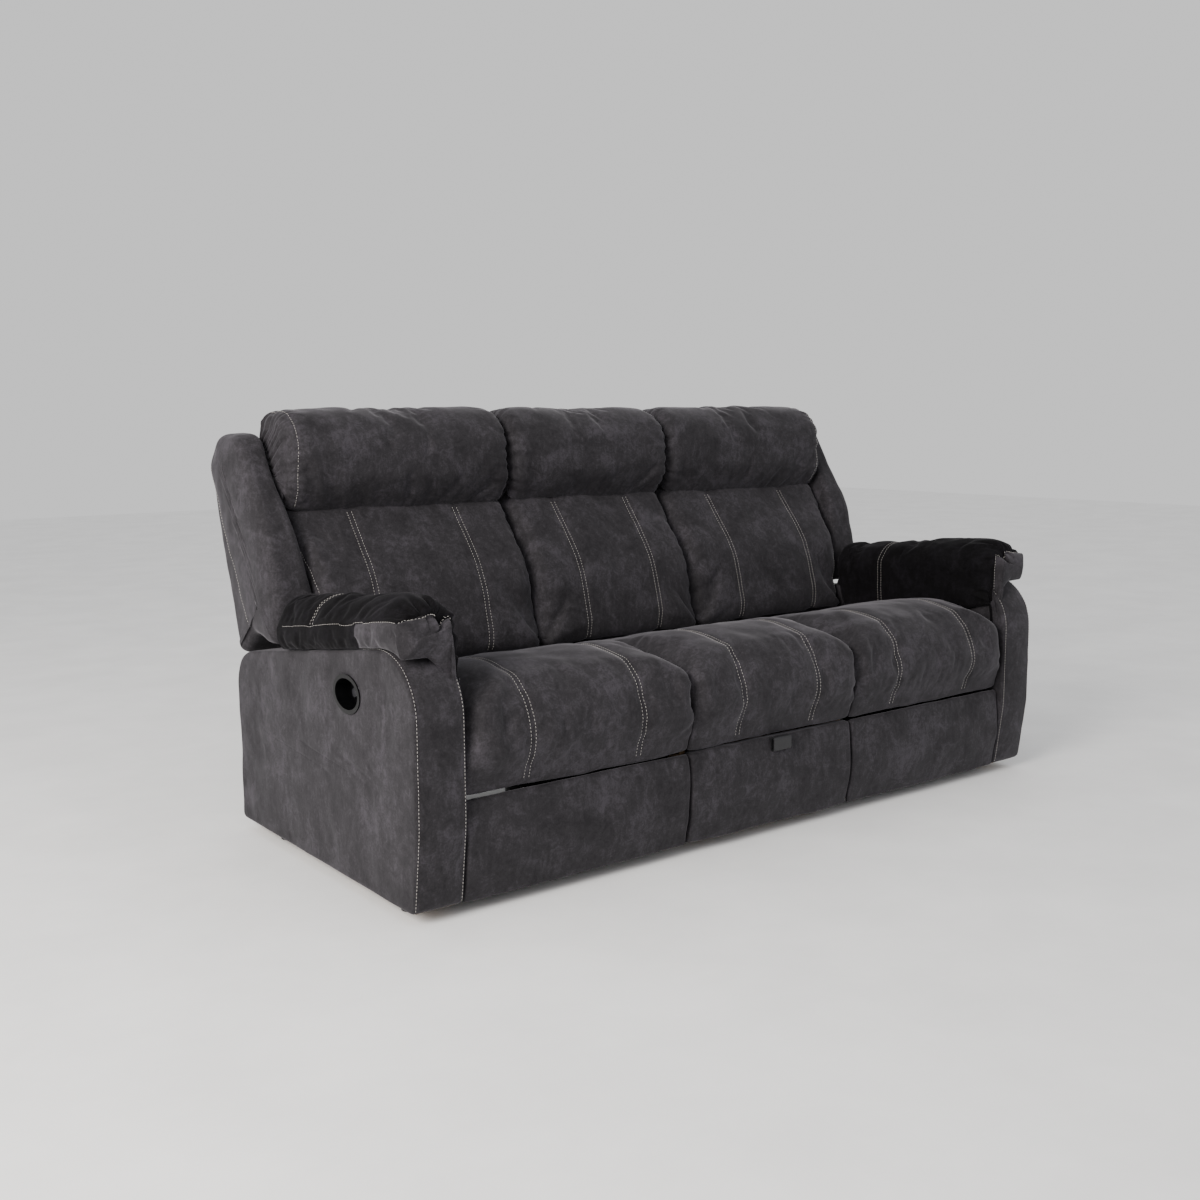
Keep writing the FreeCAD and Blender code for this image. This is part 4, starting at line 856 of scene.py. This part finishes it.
def dress_arm(side, seed):
    """Arm: padded board with a front band between two stitched edges and a hole for the cup. The
    band is crowned by 5 mm, and the outer face is drawn in a little round the cup."""
    points = shapes["arm"]["points"]
    x, y, z = np.moveaxis(points, 2, 0)
    line_y, line_z = shapes["arm"]["line"].T
    band = (x > ARM_INNER + 2) & (x < ARM_OUTER - 2)
    crown = 5.0 * (1 - ((x - (ARM_INNER + ARM_OUTER) / 2) / 58) ** 2) * (y < -300)
    outside = np.clip((x - 1022) / 6, 0, 1)
    strained = 1.8 * uneven(points * [1, 1, 0.35], 130, seed) + uneven(points, 60, seed + 1)
    from_cup = np.hypot((y - CUP_Y) / CUP_HALF_LENGTH, (z - CUP_Z) / CUP_HALF_HEIGHT)
    height = np.where(band, crown, 0) + outside * strained
    height = height * np.clip((from_cup - 0.9) / 0.5, 0, 1)
    height -= 1.2 * outside * np.exp(-(from_cup / 1.3) ** 2)
    height = height * np.clip((z - HEM + 1) / 20, 0, 1)
    points = swell_out(points, height, shapes["arm"]["depth"])
    keep = (line_y < -285) & (line_z > 34)
    rows = [line_at_x(points, edge, keep) for edge in (ARM_OUTER - 6.5, ARM_INNER + 6.5)]
    piece = make_cover(side + "_arm", points, "base", side + "_arm_cover", rows,
                       side == "left")
    cut_cup_hole(piece, -1 if side == "left" else 1)


def dress_pad(side, seed):
    """Arm pad: pillow in the darker copy of the cloth, whose darkness is painted shade, gathered
    into a lighter cap of the plain cloth at its front, with a seam along its outer side, a
    twin-needle seam across it and a curved seam near its rear end."""
    shape = shapes["pad"]
    smooth, depth, along = shape["points"], shape["depth"], shape["along"]
    line_x, line_h = shape["line"].T
    seam, foot = shape["outer_seam"], shape["flap_foot"]
    y = smooth[..., 1]
    band = (line_x > 1030) & (line_h < PAD_SEAM) & np.ones(depth.shape, bool)
    top = ~band & ~((line_h < 0) & (line_x > 900))
    across_at, rear_at, band_at = -75.0, 20.0, -300.0
    height = groove(np.abs(along - along[0, seam]), 4.5, 6.0) * (depth > 0)
    height += top * (groove(y - across_at, 3.5, 8.0) + groove(y - across_at, 2.0, 26.0)
                     + groove(y - rear_at, 2.2, 6.0))
    height += band * groove(y - band_at, 2.6, 4.0)
    start, stop = sorted((along[0, seam], along[0, foot]))
    puckers = gathers(np.maximum(depth, 0), along, seed, start, stop, 27, 110, 10.0)
    height += top * puckers * np.clip(depth / 22, 0, 1)
    height += top * groove(depth, 3.0, 5.0)
    height += rumple(smooth, seed + 1, (1.8, 130), (0.8, 50))
    height = height * np.clip(np.clip((line_h + 2) / 12, 0, 1) + (line_x < 896), 0, 1)
    points = swell_out(smooth, height, depth, 1)
    cap_face = (depth <= 0.01) | (band & (depth < band_at - PAD_FRONT))
    front = np.flatnonzero(np.abs(depth[:, 0]) < 1e-6)[-1]
    over = np.arange(seam, foot, 1 if foot > seam else -1)
    rows = [smooth[(depth[:, 0] > 6) & (depth[:, 0] < PAD_REAR_DEPTH - 4), seam],
            smooth[front + 1, over]]
    for target in (across_at - TWIN / 2, across_at + TWIN / 2):
        rows.append([[np.interp(target, y[8:-8, i], points[8:-8, i, k]) for k in range(3)]
                     for i in over])
    # The pad's top and flap get the copy of the cloth darkened with painted shade; the cap gets the
    # plain cloth
    make_cover(side + "_arm_pad", points, "base", side + "_arm_pad", rows, side == "left",
               (SUEDE_PAINTED_SHADE, SUEDE), np.where(cap_face, 1, 0))


def dress_panel(name, low, high, behind, body, node, seed):
    """Padded front panel of a footrest or of the drawer, fuller in its middle."""
    shape = panel_shape(low, high, behind)
    points = shape["points"]
    ahead = np.clip((behind - points[..., 1]) / 10, 0, 1)
    fullness = 1 - np.exp(-(np.maximum(shape["depth"], 0) / 60) ** 2)
    height = ahead * (rumple(points, seed, (1.6, 160), (0.7, 60)) + 3.0 * fullness - 1.5)
    points = swell_out(points, height, shape["depth"])
    points[..., 1] = np.minimum(points[..., 1], behind)
    make_cover(name, points, body, node)


def dress_cover(side, middle, half, body, seed):
    """Rear cover of a back: flat cloth over board, sewn 14 mm inside its two upright edges."""
    shape = cover_shape(middle - half, middle + half)
    points = shape["points"]
    line_y, line_z = shape["line"].T
    behind = np.clip((points[..., 1] - 300) / 40, 0, 1)
    height = behind * rumple(points, seed, (1.2, 220), (0.4, 70))
    points = swell_out(points, height, shape["depth"])
    points[..., 1] = np.minimum(points[..., 1], REAR + 4)
    keep = (line_z > 140) & (line_y > 366) & (line_z < 940)
    rows = [line_at_x(points, middle + k * (half - 14), keep) for k in (-1, 1)]
    make_cover(side + "_rear", points, body, side + "_back_cover", rows,
               finishes=(SUEDE_REAR,))


for side, sign, seed in (("right", 1, 11), ("left", -1, 57)):
    back = side + "_back"
    dress_seat(side, side + "_seat", seed, (439.5, 747.5))
    dress_lumbar(side, back, seed + 3, (453.0, 765.0))
    dress_roll(side, back, seed + 6)
    dress_wing(side, back, seed + 9)
    dress_arm(side, seed + 12)
    dress_pad(side, seed + 15)
    low, high = sorted((sign * (DIVISION + 2), sign * (ARM_INNER - 2)))
    dress_panel(side + "_footrest", low, high, -492.3, side + "_footrest",
                side + "_footrest_pad", seed + 20)
    dress_cover(side, sign * SEAT_CENTRE, 308.7, back, seed + 30)
dress_seat("middle", "base", 101, (-127.0, 127.0))
dress_lumbar("middle", "base", 111, (-128.0, 128.0))
dress_roll("middle", "base", 121)
dress_panel("drawer", -DIVISION + 2, DIVISION - 2, -480.0, "drawer", "drawer_front", 131)
dress_cover("middle", 0.0, 275.2, "base", 141)


# Stitching
def finished_surface(name, graph):
    """Search tree over a cover's finished faces, for laying thread on it."""
    cover = bpy.data.objects[name].evaluated_get(graph).data
    place = read(cover.vertices, "co", np.float32, 3).reshape(-1, 3)
    corners = read(cover.loops, "vertex_index", np.int32).tolist()
    cuts = read(cover.polygons, "loop_start", np.int32).tolist() + [len(corners)]
    faces = [corners[a:b] for a, b in zip(cuts, cuts[1:])]
    return BVHTree.FromPolygons(place.tolist(), faces)


def sew(name, body, tree, rows):
    """Sewing thread as short arched stitches. Along each row of points, a stitch every PITCH mm is
    a tube of RINGS rings with SIDES sides and closed ends, whose height over the cloth is
    0.3 + 0.5 * (1 - (2 t - 1)^4) mm, laid along the row on the nearest place of the surface.
    The tube is 0.62 mm in radius, and 0.55 of that at its ends."""
    ends = []
    for row in rows:
        row = np.asarray(row, float)
        run = np.concatenate([[0], np.cumsum(np.linalg.norm(np.diff(row, axis=0), axis=1))])
        start = np.arange(PITCH * 0.3, run[-1] - STITCH, PITCH)
        ends.append(np.stack([np.stack([np.interp(start + d, run, row[:, k]) for k in range(3)], 1)
                              for d in (0, STITCH)], 1))
    ends = np.concatenate(ends)
    hits = [tree.find_nearest(Vector(point / 1000)) for point in ends.reshape(-1, 3)]
    place = np.array([h[0] for h in hits]).reshape(-1, 2, 3) * 1000
    up = np.array([h[1] for h in hits]).reshape(-1, 2, 3).sum(1)
    step = place[:, 1] - place[:, 0]
    size = np.linalg.norm(step, axis=1)
    # A stitch whose ends landed together, or on two sides of a fold, is left out
    good = (size > SHORTEST) & (size < LONGEST)
    place, up, step = place[good], up[good], step[good]
    forward = step / size[good][:, None]
    up -= forward * (up * forward).sum(1, keepdims=True)
    up /= np.linalg.norm(up, axis=1, keepdims=True)
    side = np.cross(forward, up)
    t = np.linspace(0, 1, RINGS)
    turn = np.arange(SIDES) * 2 * math.pi / SIDES
    rise = 0.3 + 0.5 * (1 - (2 * t - 1) ** 4)
    thick = 0.62 * np.where((t == 0) | (t == 1), 0.55, 1.0)
    spine = place[:, :1] + step[:, None] * t[:, None] + up[:, None] * rise[:, None]
    circle = up[:, None] * np.cos(turn)[:, None] + side[:, None] * np.sin(turn)[:, None]
    points = spine[:, :, None] + circle[:, None] * thick[:, None, None]
    ring, k = np.meshgrid(np.arange(RINGS - 1), np.arange(SIDES), indexing="ij")
    quads = np.stack([ring * SIDES + k, ring * SIDES + (k + 1) % SIDES,
                      (ring + 1) * SIDES + (k + 1) % SIDES, (ring + 1) * SIDES + k], -1)
    lids = np.array([np.arange(SIDES)[::-1], (RINGS - 1) * SIDES + np.arange(SIDES)])
    first = np.arange(len(points))[:, None, None] * RINGS * SIDES
    faces = (quads.reshape(-1, 4)[None] + first).reshape(-1, 4).tolist()
    faces += (lids[None] + first).reshape(-1, SIDES).tolist()
    piece = smooth_piece(name, points, faces, [THREAD])
    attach(piece, body)


bpy.context.view_layer.update()
graph = bpy.context.evaluated_depsgraph_get()
for name, body, surface, rows in seams_to_sew:
    sew(name, body, finished_surface(surface, graph), rows)


# Release cables: a sheathed pull cable from the cup's back down to the seat's side plate
def release_cable(side, sign):
    """A 6 mm cable of 0.35 m between two fixed ends inside the arm, as a smooth spline."""
    route = [(992, 455), (963, 455), (963, 426), (963, 226), (963, 170), (907, 170)]
    curve = bpy.data.curves.new(side + "_release_cable", "CURVE")
    curve.dimensions = "3D"
    curve.bevel_depth = 0.003
    curve.bevel_resolution = 3
    curve.use_fill_caps = True
    spline = curve.splines.new("NURBS")
    spline.points.add(len(route) - 1)
    for point, (x, z) in zip(spline.points, route):
        point.co = (sign * x / 1000, CUP_Y / 1000, z / 1000, 1)
    spline.order_u = 3
    spline.use_endpoint_u = True
    spline.resolution_u = 12
    curve.materials.append(SHEATH)
    cable = placed(side + "_release_cable", curve)
    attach(cable, "base")
    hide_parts("release_cables")


release_cable("right", 1)
release_cable("left", -1)


# Floor, light and camera
def area_light(name, place, target, size, power, tint):
    """A round soft light, aimed at a point of the sofa."""
    lamp = bpy.data.lights.new(name, "AREA")
    lamp.shape, lamp.size, lamp.energy, lamp.color = "DISK", size, power, colour(tint)[:3]
    lit = placed(name, lamp)
    lit.location = place
    lit.rotation_mode = "QUATERNION"
    lit.rotation_quaternion = (Vector(target) - Vector(place)).to_track_quat("-Z", "Y")


floor_mesh = bpy.data.meshes.new("floor")
floor_mesh.from_pydata([(-12, -12, 0), (12, -12, 0), (12, 12, 0), (-12, 12, 0)], [], [[0, 1, 2, 3]])
# Matt white paper for a photographer's background
floor_mesh.materials.append(plain_finish("white_seamless_paper", "#eeeeee", "#f6f6f6", 3.0, 0.9,
                                         bump=0.0))
placed("floor", floor_mesh)

world = bpy.data.worlds.new("studio")
world.use_nodes = True
world.node_tree.nodes["Background"].inputs["Color"].default_value = (1, 1, 1, 1)
world.node_tree.nodes["Background"].inputs["Strength"].default_value = 0.85
bpy.context.scene.world = world
area_light("window_left", (-4.6, -1.6, 2.6), (-0.6, 0, 0.5), 2.4, 330, "#fffaf4")
area_light("fill_front", (0.8, -5.0, 2.6), (0.2, 0, 0.4), 3.0, 30, "#f6f8ff")

# The photograph's camera: its focal length in pixels of a 1200-pixel frame, its place and its axes
FRAME_PIXELS, FOCAL_PIXELS, SENSOR = 1200, 1325.6, 36.0
camera = placed("camera", bpy.data.cameras.new("camera"))
camera.data.sensor_width = SENSOR
camera.data.lens = FOCAL_PIXELS / FRAME_PIXELS * SENSOR
right = Vector((0.79522, -0.60629, -0.00651)).normalized()
forward = Vector((0.59974, 0.78811, -0.13854)).normalized()
up = right.cross(forward).normalized()
camera.matrix_world = Matrix.Translation((-2.3055, -2.8201, 1.0542)) @ Matrix(
    (right, up, -forward)).transposed().to_4x4()
bpy.context.scene.camera = camera

bpy.context.view_layer.update()
